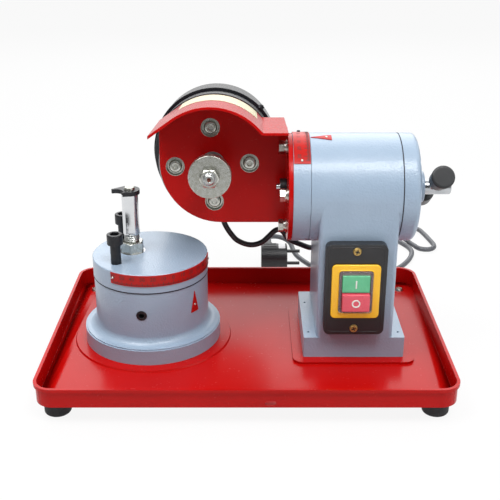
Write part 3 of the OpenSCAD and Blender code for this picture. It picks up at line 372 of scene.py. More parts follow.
def two_grains(tree: Tree, coarse: Socket, fine: Socket, share: float) -> Socket:
    """Mixes two reliefs, with the second one's share."""
    return add(tree, "ShaderNodeMix", {0: share, 2: coarse, 3: fine}, data_type="FLOAT").outputs[0]


@dataclass(frozen=True)
class Finish:
    """A surface finish with colour patches, fine grain in its gloss and a relief.

    Attributes:
        name: Name of the real material and how its surface was made.
        tint: Main colour.
        patch: Colour of the soft patches over it.
        slot: Material slot that it belongs to; not used.
        metallic: One for bare metal.
        roughness: Middle of the gloss range.
        spread: How far the gloss varies either way.
        patch_mm: Size of the colour patches.
        patch_share: How strongly the patches show.
        grain_mm: Size of the relief's grain.
        grain_um: Height of the relief in micrometres.
        stretch: How much longer the grain is along each axis.
        coat: Strength of a clear coat.
        film: Roughness of the clear coat.
        shine: Level of the plain reflection, with one half for most paints.
        alpha: How much it hides of what lies behind, with one for all of it.
    """

    name: str
    tint: str
    patch: str
    slot: Slot
    metallic: float = 0.0
    roughness: float = 0.4
    spread: float = 0.08
    patch_mm: float = 30.0
    patch_share: float = 0.5
    grain_mm: float = 1.0
    grain_um: float = 20.0
    stretch: Point = (1.0, 1.0, 1.0)
    coat: float = 0.0
    film: float = 0.12
    shine: float = 0.5
    alpha: float = 1.0

    def patches(self, tree: Tree, where: Socket) -> Socket:
        """Returns how much of the patch colour shows at each point."""
        cloud = noise(tree, where, 1000 / self.patch_mm, 4.0)
        return fitted(tree, cloud, (0.35, 0.7), (0.0, self.patch_share))

    def relief(self, tree: Tree, where: Socket) -> Socket:
        """Returns the height of the surface's grain."""
        return noise(tree, where, 1000 / self.grain_mm, 3.0)

    def build(self) -> bpy.types.Material:
        """Makes the material, or returns it if it is already made.

        Returns:
            The material.
        """
        known = bpy.data.materials.get(self.name)
        if known is not None:
            return known
        material = bpy.data.materials.new(self.name)
        material.use_nodes = True
        material.diffuse_color = colour(self.tint)
        tree = material.node_tree
        tree.nodes.clear()
        spot = add(tree, "ShaderNodeTexCoord").outputs["Object"]
        shares = tuple(1 / s for s in self.stretch)
        drawn = add(tree, "ShaderNodeVectorMath", {0: spot, 1: shares}, operation="MULTIPLY").outputs[0]
        height = self.relief(tree, drawn)
        limits = (max(0.02, self.roughness - self.spread), self.roughness + self.spread)
        bump = add(tree, "ShaderNodeBump", {"Distance": self.grain_um * 1e-6, "Height": height})
        colours = {"Factor": self.patches(tree, spot), 6: colour(self.tint), 7: colour(self.patch)}
        shader = add(
            tree,
            "ShaderNodeBsdfPrincipled",
            {
                "Base Color": add(tree, "ShaderNodeMix", colours, data_type="RGBA").outputs[2],
                "Metallic": self.metallic,
                "Roughness": fitted(tree, height, (0.3, 0.7), limits),
                "Normal": bump.outputs[0],
                "Coat Weight": self.coat,
                "Coat Roughness": self.film,
                "Specular IOR Level": self.shine,
                "Alpha": self.alpha,
            },
        )
        add(tree, "ShaderNodeOutputMaterial", {"Surface": shader.outputs[0]})
        return material


class Lacquer(Finish):
    """Sprayed paint: round pebbles of orange peel on a slow wave."""

    def relief(self, tree: Tree, where: Socket) -> Socket:
        """Returns the pebbles, which are somewhat finer than the grain, and the wave.

        Args:
            tree: The material's tree.
            where: Place on the object.

        Returns:
            Height of the paint.
        """
        pebbles = noise(tree, where, 1300 / self.grain_mm, 0.6)
        wave = noise(tree, where, 250 / self.grain_mm, 2.0)
        return two_grains(tree, pebbles, wave, 0.4)


class Turned(Finish):
    """Metal turned or ground in a lathe: fine lines with brighter and darker bands."""

    def relief(self, tree: Tree, where: Socket) -> Socket:
        """Returns fine drawn lines mixed with a finer grit.

        Args:
            tree: The material's tree.
            where: Place on the object.

        Returns:
            Height of the metal.
        """
        lines = noise(tree, where, 1000 / self.grain_mm, 6.0)
        grit = noise(tree, where, 2600 / self.grain_mm, 2.0)
        return two_grains(tree, lines, grit, 0.35)


class Plated(Finish):
    """Zinc plate: crystal flakes a few millimetres across, each with its own shade."""

    def patches(self, tree: Tree, where: Socket) -> Socket:
        """Returns the shade of the flake at each point."""
        flakes = add(tree, "ShaderNodeTexVoronoi", {"Vector": where, "Scale": 1000 / self.patch_mm})
        return fitted(tree, flakes.outputs["Color"], (0.1, 0.9), (0.0, self.patch_share))


# Two-pack enamel on pressed steel: deep red, wet gloss, a slight orange peel of about 3 mm.
RED_ENAMEL = Lacquer("red_enamel", "#B00A08", "#9C0806", Slot.RED, roughness=0.24, spread=0.04, patch_mm=90,
                     grain_mm=3.2, grain_um=8, coat=0.03, shine=0.15)
# Hammer-tone machine paint on cast iron: grey-blue, half gloss. Its pebbles of 2.5 mm stand higher
# than the real ones, which are about 0.1 mm, so that they show.
BLUE_HAMMER = Lacquer("blue_hammer_paint", "#92A4B7", "#889AAE", Slot.BLUE, roughness=0.33, spread=0.05,
                      patch_mm=45, grain_mm=2.5, grain_um=520, coat=0.18)
# Printed anodised strip: even saturated red under a thin gloss film.
RED_STRIP = Finish("red_scale_strip", "#AE1611", "#9D120D", Slot.SCALE, roughness=0.3, spread=0.04,
                   patch_mm=18, grain_mm=0.6, grain_um=3, coat=0.05, shine=0.2)
# Screen-printing ink: flat black with a slight sheen.
INK = Finish("black_ink", "#1B1516", "#2A2021", Slot.SCALE, roughness=0.5, grain_mm=0.5, grain_um=2)
# Zinc plate with a pale passivation: bright, faintly straw, with flakes about 2 mm across.
ZINC = Plated("zinc_plate", "#CFD0CB", "#A9A99B", Slot.STEEL, metallic=1.0, roughness=0.27, spread=0.07,
              patch_mm=2.4, patch_share=0.7, grain_mm=0.5, grain_um=5)
# Ground bright steel: long fine lines, mirror-like across them.
GROUND_STEEL = Turned("ground_steel", "#C3C6C9", "#A2A6AB", Slot.STEEL, metallic=1.0, roughness=0.22,
                      spread=0.07, patch_mm=12, patch_share=0.6, grain_mm=0.35, grain_um=4)
# Hot-dip zinc: large dull flakes on the post's thread and the spindle's end.
SPANGLE = Plated("galvanised_washer", "#C9CBC9", "#8F9390", Slot.STEEL, metallic=1.0, roughness=0.38,
                 spread=0.1, patch_mm=3.2, patch_share=0.9, grain_mm=0.8, grain_um=10)
# Chrome over polished steel: a clear dark-and-light mirror with hairline wipe marks.
CHROME = Turned("chrome_plate", "#E0E2E4", "#C8CACD", Slot.CHROME, metallic=1.0, roughness=0.17,
                spread=0.04, patch_mm=25, patch_share=0.4, grain_mm=0.5, grain_um=1)
# Black oxide on heat-treated screws: near black with a dry oily sheen.
BLACK_OXIDE = Finish("black_oxide", "#26272A", "#37383B", Slot.BLACK, metallic=0.55, roughness=0.36,
                     spread=0.1, patch_mm=6, grain_mm=0.7, grain_um=12)
# Black enamel on turned steel and on the fan's cowl: smooth, dark, half gloss.
BLACK_ENAMEL = Lacquer("black_enamel", "#131318", "#1B1B21", Slot.BLACK, roughness=0.26, spread=0.05,
                       patch_mm=20, grain_mm=2.2, grain_um=30, coat=0.05, shine=0.32)
# Dark grey motor paint over cast aluminium: satin, sprayed over the casting's grain.
MOTOR_GREY = Lacquer("dark_motor_paint", "#2F2F31", "#38383A", Slot.ALUMINIUM, roughness=0.38, spread=0.06,
                     patch_mm=20, grain_mm=1.6, grain_um=60, coat=0.05, shine=0.4)
# Sand-cast aluminium: pale, matt, pitted every millimetre.
CAST_ALUMINIUM = Finish("cast_aluminium", "#B7BABC", "#9FA3A6", Slot.ALUMINIUM, metallic=0.9,
                        roughness=0.45, spread=0.12, patch_mm=14, grain_mm=1.1, grain_um=40)
# Moulded natural rubber: dull black with a bloom of grey.
RUBBER = Finish("moulded_rubber", "#1D1D1F", "#343436", Slot.RUBBER, roughness=0.72, spread=0.1,
                patch_mm=10, grain_mm=0.9, grain_um=30)
# Extruded PVC jacket of the motor's lead: soft black gloss with faint marks.
CORD_PVC = Finish("pvc_cord_jacket", "#222225", "#313135", Slot.RUBBER, roughness=0.42, patch_mm=16,
                  grain_mm=1.2, grain_um=14, coat=0.1)
# Grey rubber jacket of the mains cord: mid grey, satin.
GREY_CORD = Finish("grey_cord_jacket", "#4B4D52", "#5E6066", Slot.RUBBER, roughness=0.45, patch_mm=16,
                   grain_mm=1.2, grain_um=14, coat=0.1)
# Injection-moulded black ABS: leather-fine spark texture.
BLACK_ABS = Finish("black_abs", "#1E1F21", "#2A2B2E", Slot.PLASTIC, spread=0.07, patch_mm=20, grain_mm=0.8,
                   grain_um=18)
# Injection-moulded yellow ABS: bright, even, glossy.
YELLOW_ABS = Finish("yellow_abs", "#F4BE1C", "#E9AE12", Slot.YELLOW, roughness=0.32, spread=0.05,
                    patch_mm=18, grain_mm=0.7, grain_um=8, coat=0.2)
# Green key cap seen through its clear boot: milky green.
GREEN_KEY = Finish("green_key_cap", "#5DBB8A", "#4BAA79", Slot.GREEN, roughness=0.3, spread=0.06,
                   patch_mm=9, grain_mm=0.8, grain_um=8, coat=0.3)
# Red key cap seen through its clear boot: milky red.
RED_KEY = Finish("red_key_cap", "#DD5163", "#CC4052", Slot.STOP, roughness=0.3, spread=0.06, patch_mm=9,
                 grain_mm=0.8, grain_um=8, coat=0.3)
# White key marking, moulded in: even, satin.
WHITE_MARK = Finish("white_key_mark", "#E6E6E2", "#D6D6D0", Slot.CLEAR, grain_mm=0.8, grain_um=5)
# Clear flexible PVC boot: thin skin with soft glints, through which the keys show.
CLEAR_BOOT = Finish("clear_pvc_boot", "#B9A1A6", "#C8B4B8", Slot.CLEAR, roughness=0.14, spread=0.06,
                    patch_mm=10, grain_mm=3.5, grain_um=60, coat=0.5, alpha=0.3)
# Brass screws: warm yellow metal, slightly tarnished.
BRASS = Turned("brass", "#C9A14E", "#A67F35", Slot.BRASS, metallic=1.0, roughness=0.28, patch_mm=3,
               grain_mm=0.4, grain_um=5)
# Blank adhesive film: cream, satin.
CREAM_FILM = Finish("cream_label_film", "#D3CDA9", "#C9C39F", Slot.CLEAR, roughness=0.35, spread=0.05,
                    patch_mm=30, grain_mm=2.0, grain_um=6)
# Blank white film on the plug: satin.
WHITE_FILM = Finish("white_label_film", "#DADBDC", "#C9CACC", Slot.CLEAR, spread=0.05, patch_mm=12,
                    grain_mm=1.5, grain_um=6)
# Bright copper wire under varnish: brown red with a wet gloss.
COPPER = Turned("varnished_copper", "#A85A34", "#8A4424", Slot.BRASS, metallic=1.0, roughness=0.35,
                patch_mm=4, grain_mm=0.8, grain_um=30)
# Stacked core laminations: dull blue-grey steel with fine lines across the stack.
LAMINATION = Turned("core_lamination", "#8B8F94", "#74787D", Slot.STEEL, metallic=1.0, roughness=0.45,
                    spread=0.1, patch_mm=8, grain_mm=0.6, grain_um=12, stretch=(4, 1, 4))
# Painted shade: dark matt paint laid in a machined joint where its shadow falls.
JOINT_SHADOW = Finish("joint_shadow", "#20242C", "#2A2F38", Slot.BLUE, roughness=0.7, patch_mm=12,
                      grain_mm=0.8, grain_um=6)
# Rust in a centre hole: brown, dry.
RUST = Finish("surface_rust", "#6B3420", "#3E2117", Slot.STEEL, roughness=0.8, spread=0.1, patch_mm=1.2,
              grain_mm=0.5, grain_um=40)


# ------------------------------------------------------------------ pieces


def wear(piece: Piece, finish: Finish) -> Piece:
    """Gives a piece one finish.

    Args:
        piece: The piece.
        finish: Its surface.

    Returns:
        The same piece.
    """
    piece.data.materials.clear()
    piece.data.materials.append(finish.build())
    return piece


def mount(piece: Piece, body: str, finish: Finish, *nodes: str) -> Piece:
    """Dresses a piece, puts it on its body and hides the solids it stands for.

    Args:
        piece: The finished piece.
        body: Body that carries it.
        finish: Its surface.
        *nodes: Solids that it replaces.

    Returns:
        The same piece.
    """
    wear(piece, finish)
    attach(piece, body)
    if nodes:
        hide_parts(*nodes)
    log.info("%s rides on %s, %d faces", piece.name, body, len(piece.data.polygons))
    return piece


def cast_from(node: str, edge: float) -> Piece:
    """Casts a solid with broken edges.

    Args:
        node: Name of the solid.
        edge: Width of its broken edges in millimetres.

    Returns:
        A new piece with the solid's shape.
    """
    solid = frame["nodes"][node]
    mesh = solid.data.copy()
    mesh.name = f"{node}_cast"
    mesh.transform(solid.matrix_world)
    mesh.materials.clear()
    with edited(mesh) as work:
        join_flats(work)
    return break_edges(link(f"{node}_cast", mesh), edge)


@dataclass
class Part:
    """A solid that is cast as it stands.

    Attributes:
        node: Name of the solid.
        finish: Its surface.
        edge: Width of its broken edges in millimetres.
    """

    node: str
    finish: Finish
    edge: float

    def build(self) -> Piece:
        """Casts the solid and puts it on its body."""
        return mount(cast_from(self.node, self.edge), body_with(self.node), self.finish, self.node)


@dataclass
class Assembly:
    """A group of pieces that is made together.

    Attributes:
        parts: Solids that are cast.
        hidden: Solids inside other parts, which keep their shape and get a finish.
    """

    parts: list[Part] = field(default_factory=list)
    hidden: dict[str, Finish] = field(default_factory=dict)

    def build(self) -> None:
        """Casts the parts, dresses the inner solids and adds the details."""
        for part in self.parts:
            part.build()
        for node, finish in self.hidden.items():
            solid = frame["nodes"][node]
            solid.data.materials.clear()
            solid.data.materials.append(finish.build())
            log.info("%s keeps its shape", node)
        self.details()

    def details(self) -> None:
        """Adds what the solids leave out."""


# ------------------------------------------------------------------ repeated shapes


@cache
def copies_tree() -> tuple[Tree, dict[str, str]]:
    """Makes the tree that puts a copy of a shape at each point, with its turn and size.

    Returns:
        The tree and the identifiers of its inputs.
    """
    tree = bpy.data.node_groups.new("copies_at_places", "GeometryNodeTree")
    tree.interface.new_socket("Geometry", in_out="OUTPUT", socket_type="NodeSocketGeometry")
    tree.interface.new_socket("Geometry", in_out="INPUT", socket_type="NodeSocketGeometry")
    kinds = {"Shape": "NodeSocketObject", "Material": "NodeSocketMaterial"}
    keys = {
        label: tree.interface.new_socket(label, in_out="INPUT", socket_type=kind).identifier
        for label, kind in kinds.items()
    }
    given = add(tree, "NodeGroupInput").outputs
    shape = add(tree, "GeometryNodeObjectInfo", {"Object": given["Shape"]}, transform_space="ORIGINAL")
    angle = add(tree, "GeometryNodeInputNamedAttribute", {"Name": "turn"}, data_type="FLOAT_VECTOR")
    size = add(tree, "GeometryNodeInputNamedAttribute", {"Name": "size"}, data_type="FLOAT_VECTOR")
    turned = add(tree, "FunctionNodeEulerToRotation", {0: angle.outputs[0]})
    put = add(
        tree,
        "GeometryNodeInstanceOnPoints",
        {
            "Points": given["Geometry"],
            "Instance": shape.outputs["Geometry"],
            "Rotation": turned.outputs[0],
            "Scale": size.outputs[0],
        },
    )
    real = add(tree, "GeometryNodeRealizeInstances", {"Geometry": put.outputs[0]})
    dress = {"Geometry": real.outputs[0], "Material": given["Material"]}
    dressed = add(tree, "GeometryNodeSetMaterial", dress)
    add(tree, "NodeGroupOutput", {0: dressed.outputs[0]})
    return tree, keys


def copies(
    name: str,
    shape: Piece,
    places: Sequence[Matrix],
    body: str,
    finish: Finish,
    *nodes: str,
    sizes: Sequence[Point] | None = None,
) -> Piece:
    """Puts copies of a shape at its places as one piece.

    Args:
        name: Name of the new piece.
        shape: The shape, round the origin; it is removed afterwards.
        places: Where each copy goes, in millimetres.
        body: Body that carries them.
        finish: Their surface.
        *nodes: Solids that they replace.
        sizes: Scale of each copy.

    Returns:
        The new piece.
    """
    tree, keys = copies_tree()
    mesh = bpy.data.meshes.new(name)
    mesh.from_pydata([tuple(p.translation * MM) for p in places], [], [])
    turns = mesh.attributes.new("turn", "FLOAT_VECTOR", "POINT")
    scales = mesh.attributes.new("size", "FLOAT_VECTOR", "POINT")
    for i, place in enumerate(places):
        turns.data[i].vector = tuple(place.to_euler())
        scales.data[i].vector = sizes[i] if sizes else (1.0, 1.0, 1.0)
    piece = link(name, mesh)
    grower = piece.modifiers.new("copies", "NODES")
    grower.node_group = tree
    grower[keys["Shape"]] = shape
    grower[keys["Material"]] = finish.build()
    settle(piece)
    bpy.data.objects.remove(shape)
    return mount(piece, body, finish, *nodes)


# ------------------------------------------------------------------ places


@dataclass(frozen=True)
class Layout:
    """Main places and sizes of the machine, in millimetres from the point under its middle.

    Attributes:
        tray_x: Middle of the tray, across.
        tray_y: Middle of the tray, in depth.
        tray_w: Its width over the walls.
        tray_d: Its depth over the walls.
        corner: Side of each welded corner.
        bend: Outer radius of each corner.
        wall: Thickness of its walls.
        floor_z: Height of its floor.
        table: Middle of the swivelling disc's top.
        pedestal_top: Height of the joint under the disc.
        post: Foot of the stop post.
        barrel_y: Depth of the barrel's axis.
        barrel_z: Height of the barrel's axis.
        barrel_x1: Where the barrel meets its cap.
        motor_x: Motor's axis, across.
        motor_up: How far it lies above the barrel's axis.
        tilt: Angle in degrees at which the head stands.
        hood_r: Radius of the hood over the motor.
    """

    tray_x: float = -2.0
    tray_y: float = -27.186
    tray_w: float = 450.0
    tray_d: float = 314.0
    corner: float = 22.0
    bend: float = 20.0
    wall: float = 1.5
    floor_z: float = 22.0
    table: Point = (-114.5, -21.186, 129.0)
    pedestal_top: float = 106.7
    post: Point = (-135.5, -16.486, 129.0)
    barrel_y: float = -23.186
    barrel_z: float = 209.5
    barrel_x1: float = 165.0
    motor_x: float = -41.3
    motor_up: float = 21.4
    tilt: float = 7.0
    hood_r: float = 72.0

    @property
    def tray(self) -> Matrix:
        """Middle of the tray, at bench height."""
        return shift(self.tray_x, self.tray_y)

    @property
    def disc(self) -> Matrix:
        """Axis of the swivelling disc, from bench height."""
        return shift(*self.table[:2])

    @property
    def barrel(self) -> Matrix:
        """Barrel's axis, with Z along +X of the machine."""
        return shift(0, self.barrel_y, self.barrel_z) @ turn(90, "Y")

    @property
    def head(self) -> Matrix:
        """Tilted head, measured from the barrel's axis."""
        return shift(0, self.barrel_y, self.barrel_z) @ turn(-self.tilt, "X")

    @property
    def motor(self) -> Matrix:
        """Motor's axis, with Z pointing back along it."""
        return self.head @ shift(self.motor_x, 0, self.motor_up) @ turn(-90, "X")


AT = Layout()
# Frame of a scale round an axis along X: its Z runs towards -X, and its nought is on top.
LYING = Matrix(((0, 0, -1, 0), (1, 0, 0, 0), (0, -1, 0, 0), (0, 0, 0, 1)))


# ------------------------------------------------------------------ studio


@dataclass
class Studio:
    """Camera, pale floor, surroundings and four soft lamps.

    Attributes:
        lens: Focal length in millimetres.
        eye: The camera's place.
        pitch: Its angle from straight down, in degrees.
        lamps: Each lamp's name, place, side in metres and power in watts.
        aim: Point that the lamps face.
    """

    lens: float = 63.32
    eye: Point = (1.6, -964.486, 526.9)
    pitch: float = 67.25
    lamps: tuple[tuple[str, Point, float, float], ...] = (
        ("key_lamp", (330, -740, 1480), 0.5, 11),
        ("left_lamp", (-620, -420, 1450), 0.8, 15),
        ("right_lamp", (950, -500, 700), 1.0, 4),
        ("back_lamp", (0, 1500, 1300), 1.8, 18),
    )
    aim: Point = (0, 0, 120)

    def camera(self) -> None:
        """Makes the camera and makes it the scene's own."""
        data = bpy.data.cameras.new("camera")
        data.lens = self.lens
        data.sensor_width = 36.0
        data.clip_end = 50.0
        eye = link("camera", data)
        eye.location = Vector(self.eye) * MM
        eye.rotation_euler = (math.radians(self.pitch), 0, 0)
        bpy.context.scene.camera = eye

    def lamp(self, name: str, spot: Point, size: float, watts: float) -> None:
        """Adds one soft square lamp.

        Args:
            name: Lamp's name.
            spot: Its place in millimetres.
            size: Side of the lamp in metres.
            watts: Its power.
        """
        data = bpy.data.lights.new(name, "AREA")
        data.shape = "SQUARE"
        data.size = size
        data.energy = watts
        lamp = link(name, data)
        lamp.location = Vector(spot) * MM
        lamp.rotation_euler = (Vector(self.aim) - Vector(spot)).to_track_quat("-Z", "Y").to_euler()

    def seen_by(self, tree: Tree, other: str) -> Socket:
        """Tells the camera's own rays, and those of one other kind, from the rest.

        Args:
            tree: The tree.
            other: Name of the other kind.

        Returns:
            One for those rays and nought for the rest.
        """
        path = add(tree, "ShaderNodeLightPath").outputs
        kinds = {0: path["Is Camera Ray"], 1: path[other]}
        return add(tree, "ShaderNodeMath", kinds, operation="MAXIMUM").outputs[0]

    def floor(self, reach: float = 4000.0, glow_share: float = 0.9) -> None:
        """Makes the floor: plain, pale and white to the camera away from the shadow.

        Args:
            reach: How far it goes each way, in millimetres.
            glow_share: How much of what the camera sees is plain white.
        """
        corners = [(-reach, -reach, 0), (reach, -reach, 0), (reach, reach, 0), (-reach, reach, 0)]
        plane = make("floor", corners, [(0, 1, 2, 3)])
        material = bpy.data.materials.new("white_paper_floor")
        material.use_nodes = True
        tree = material.node_tree
        tree.nodes.clear()
        paper = add(tree, "ShaderNodeBsdfDiffuse", {"Color": colour("#DADADA")})
        glow = add(tree, "ShaderNodeEmission", {"Color": colour("#FFFFFF"), "Strength": 1.0})
        seen = self.seen_by(tree, "Is Glossy Ray")
        share = add(tree, "ShaderNodeMath", {0: seen, 1: glow_share}, operation="MULTIPLY")
        sides = {0: share.outputs[0], 1: paper.outputs[0], 2: glow.outputs[0]}
        mixed = add(tree, "ShaderNodeMixShader", sides)
        add(tree, "ShaderNodeOutputMaterial", {"Surface": mixed.outputs[0]})
        plane.data.materials.append(material)

    def world(self) -> None:
        """Makes the surroundings: pale above and behind, dark in front, white to the camera."""
        world = bpy.data.worlds.new("studio")
        bpy.context.scene.world = world
        world.use_nodes = True
        tree = world.node_tree
        tree.nodes.clear()
        ray = add(tree, "ShaderNodeTexCoord").outputs["Generated"]
        toward = add(tree, "ShaderNodeSeparateXYZ", {0: ray})
        above = fitted(tree, toward.outputs["Z"], (-0.1, 0.9), (0.05, 0.6))
        behind = fitted(tree, toward.outputs["Y"], (0.1, 0.9), (0.0, 0.66))
        strength = add(tree, "ShaderNodeMath", {0: above, 1: behind}, operation="ADD")
        plain = colour("#FFFFFF")
        soft = add(tree, "ShaderNodeBackground", {"Color": plain, "Strength": strength.outputs[0]})
        white = add(tree, "ShaderNodeBackground", {"Color": plain, "Strength": 1.0})
        seen = self.seen_by(tree, "Is Transmission Ray")
        mixed = add(tree, "ShaderNodeMixShader", {0: seen, 1: soft.outputs[0], 2: white.outputs[0]})
        add(tree, "ShaderNodeOutputWorld", {"Surface": mixed.outputs[0]})

    def build(self) -> None:
        """Sets up the camera, floor, surroundings and lamps."""
        self.camera()
        self.floor()
        self.world()
        for lamp in self.lamps:
            self.lamp(*lamp)
        bpy.context.scene.view_settings.view_transform = "Standard"


# ------------------------------------------------------------------ shared details


def film(
    name: str, place: Matrix, radius: float, angles: Flat, reach: Flat, body: str, finish: Finish
) -> Piece:
    """Wraps a thin blank film round a cylinder.

    Args:
        name: Piece name.
        place: Frame whose Z is the cylinder's axis.
        radius: Radius of the film's underside.
        angles: First and last angle, from -Y towards +X.
        reach: First and last height along the axis.
        body: Body that carries it.
        finish: Its surface.

    Returns:
        The film.
    """
    rows, around, thickness = 7, 33, 0.16
    points = []
    for r in (radius, radius + thickness):
        for j in range(rows):
            z = reach[0] + (reach[1] - reach[0]) * j / (rows - 1)
            for k in range(around):
                a = math.radians(angles[0] + (angles[1] - angles[0]) * k / (around - 1))
                points.append((r * math.sin(a), -r * math.cos(a), z))
    n = rows * around
    upper = ring_faces(around, rows, False)
    faces = [[i + n for i in f] for f in upper] + [f[::-1] for f in upper]
    border = list(range(around)) + [j * around + around - 1 for j in range(1, rows)]
    border += list(range(n - 2, (rows - 1) * around - 1, -1)) + [j * around for j in range(rows - 2, 0, -1)]
    faces += [[a, b, b + n, a + n] for a, b in zip(border, border[1:] + border[:1])]
    return mount(make(name, points, faces, place), body, finish)


def thread(
    name: str, root: float, pitch: float, reach: Flat, place: Matrix, body: str, finish: Finish
) -> Piece:
    """Winds a screw thread round a bar, as its own sleeve.

    Args:
        name: Piece name.
        root: Radius at the bottom of the thread.
        pitch: Rise of one turn.
        reach: Where it starts and ends along its axis.
        place: Frame whose Z is the axis.
        body: Body that carries it.
        finish: Its surface.

    Returns:
        The thread.
    """
    low, high = reach
    around = 28
    rows = max(8, round((high - low) / pitch * 6))
    depth = 0.42 * pitch
    points = []
    for j in range(rows + 1):
        z = low + (high - low) * j / rows
        for k in range(around):
            slope = abs(((z / pitch - k / around) % 1) * 2 - 1)
            r = root + (0 if j in (0, rows) else depth * (1 - slope))
            a = 2 * math.pi * k / around
            points.append((r * math.cos(a), r * math.sin(a), z))
    piece = make(name, points, ring_faces(around, rows + 1, True), place, crease=50)
    return mount(piece, body, finish)


def islands(node: str, place: Matrix) -> list[tuple[Vector, Vector]]:
    """Finds the separate bodies of a solid.

    Args:
        node: Name of the solid.
        place: Frame in which they are measured, in millimetres.

    Returns:
        Lowest and highest corner of each one, in that frame.
    """
    solid = frame["nodes"][node]
    work = bmesh.new()
    work.from_mesh(solid.data)
    bmesh.ops.remove_doubles(work, verts=work.verts, dist=WELD)
    to_local = place.inverted() @ Matrix.Scale(PER_M, 4) @ solid.matrix_world
    found, seen = [], set()
    for first in work.verts:
        if first in seen:
            continue
        seen.add(first)
        group, queue = [], [first]
        while queue:
            vert = queue.pop()
            group.append(to_local @ vert.co)
            fresh = {edge.other_vert(vert) for edge in vert.link_edges} - seen
            seen |= fresh
            queue += fresh
        low = Vector([min(p[i] for p in group) for i in range(3)])
        high = Vector([max(p[i] for p in group) for i in range(3)])
        found.append((low, high))
    work.free()
    return found


@dataclass(frozen=True)
class Dial:
    """A printed scale on a round surface, with lines, figures and rivets.

    The scale's frame has Z along the cylinder's axis, and its angles start at -Y towards +X.

    Attributes:
        name: Name that its pieces start with.
        place: Frame of the cylinder.
        radius: Radius of the strip's face.
        low: Height of its lower edge.
        width: Its width.
        centre: Angle of its nought.
        half: Angle from its nought to its ends.
        body: Body that carries it.
        figure: Height of the figures.
    """

    name: str
    place: Matrix
    radius: float
    low: float
    width: float
    centre: float
    half: float
    body: str
    figure: float = 4.9

    def at(self, angle: float, height: float, lift: float = 0.0) -> Matrix:
        """Returns the frame of a mark: Y up the strip and Z out of it."""
        return self.place @ turn(angle, "Z") @ shift(0, -self.radius - lift, height) @ turn(90, "X")

    def lines(self, half_width: float = 0.24, thickness: float = 0.05) -> None:
        """Prints one line for each degree, longer at five and ten.

        Args:
            half_width: Half the width of a plain line.
            thickness: Thickness of the ink.
        """
        outline = [(-half_width, 0), (half_width, 0), (half_width, 1), (-half_width, 1)]
        line = make(f"{self.name}_line", *prism(outline, 0.0, thickness))
        reach = int(self.half - 3)
        places, sizes = [], []
        for degree in range(-reach, reach + 1):
            tall = 5.0 if degree % 10 == 0 else 3.8 if degree % 5 == 0 else 2.4
            places.append(self.at(self.centre + degree, self.low + 0.8, 0.02))
            sizes.append((1.3 if degree % 5 == 0 else 1.0, tall * self.width / 15, 1.0))
        copies(f"{self.name}_lines", line, places, self.body, INK, sizes=sizes)

    def word(self, text: str) -> tuple[list[Vector], Faces]:
        """Shapes one figure, lying flat round the origin.

        Args:
            text: The figure.

        Returns:
            Its points, in millimetres, and its faces.
        """
        curve = bpy.data.curves.new("figure", "FONT")
        curve.body = text
        curve.size = self.figure * 1.35
        curve.align_x = "CENTER"
        curve.align_y = "CENTER"
        curve.resolution_u = 3
        word = link("figure", curve)
        bpy.context.view_layer.update()
        mesh = bpy.data.meshes.new_from_object(word)
        points = [vert.co.copy() for vert in mesh.vertices]
        faces = [list(polygon.vertices) for polygon in mesh.polygons]
        bpy.data.objects.remove(word)
        bpy.data.curves.remove(curve)
        bpy.data.meshes.remove(mesh)
        return points, faces

    def figures(self) -> None:
        """Prints a figure at every ten degrees."""
        points: list[Point] = []
        faces: Faces = []
        top = int((self.half - 3) // 10) * 10
        middle = self.low + self.width * 0.66
        for degree in range(-top, top + 1, 10):
            corners, outlines = self.word(str(abs(degree)))
            base = len(points)
            for corner in corners:
                angle = self.centre + degree + math.degrees(corner.x / self.radius)
                points.append(tuple(self.at(angle, middle + corner.y, 0.05).translation))
            faces += [[base + i for i in outline] for outline in outlines]
        mount(make(f"{self.name}_figures", points, faces, close=False), self.body, INK)

    def rivets(self, spots: Sequence[Flat]) -> None:
        """Sets small round rivets.

        Args:
            spots: Angle and height of each rivet.
        """
        profile = [(0, 0.95), (0.6, 0.88), (1.2, 0.6), (1.55, 0.15), (1.6, -0.3)]
        dome = make(f"{self.name}_rivet", *lathe(profile, 16))
        copies(f"{self.name}_rivets", dome, [self.at(a, h) for a, h in spots], self.body, ZINC)

    def build(self) -> None:
        """Prints the lines and the figures."""
        self.lines()
        self.figures()


# ------------------------------------------------------------------ cords


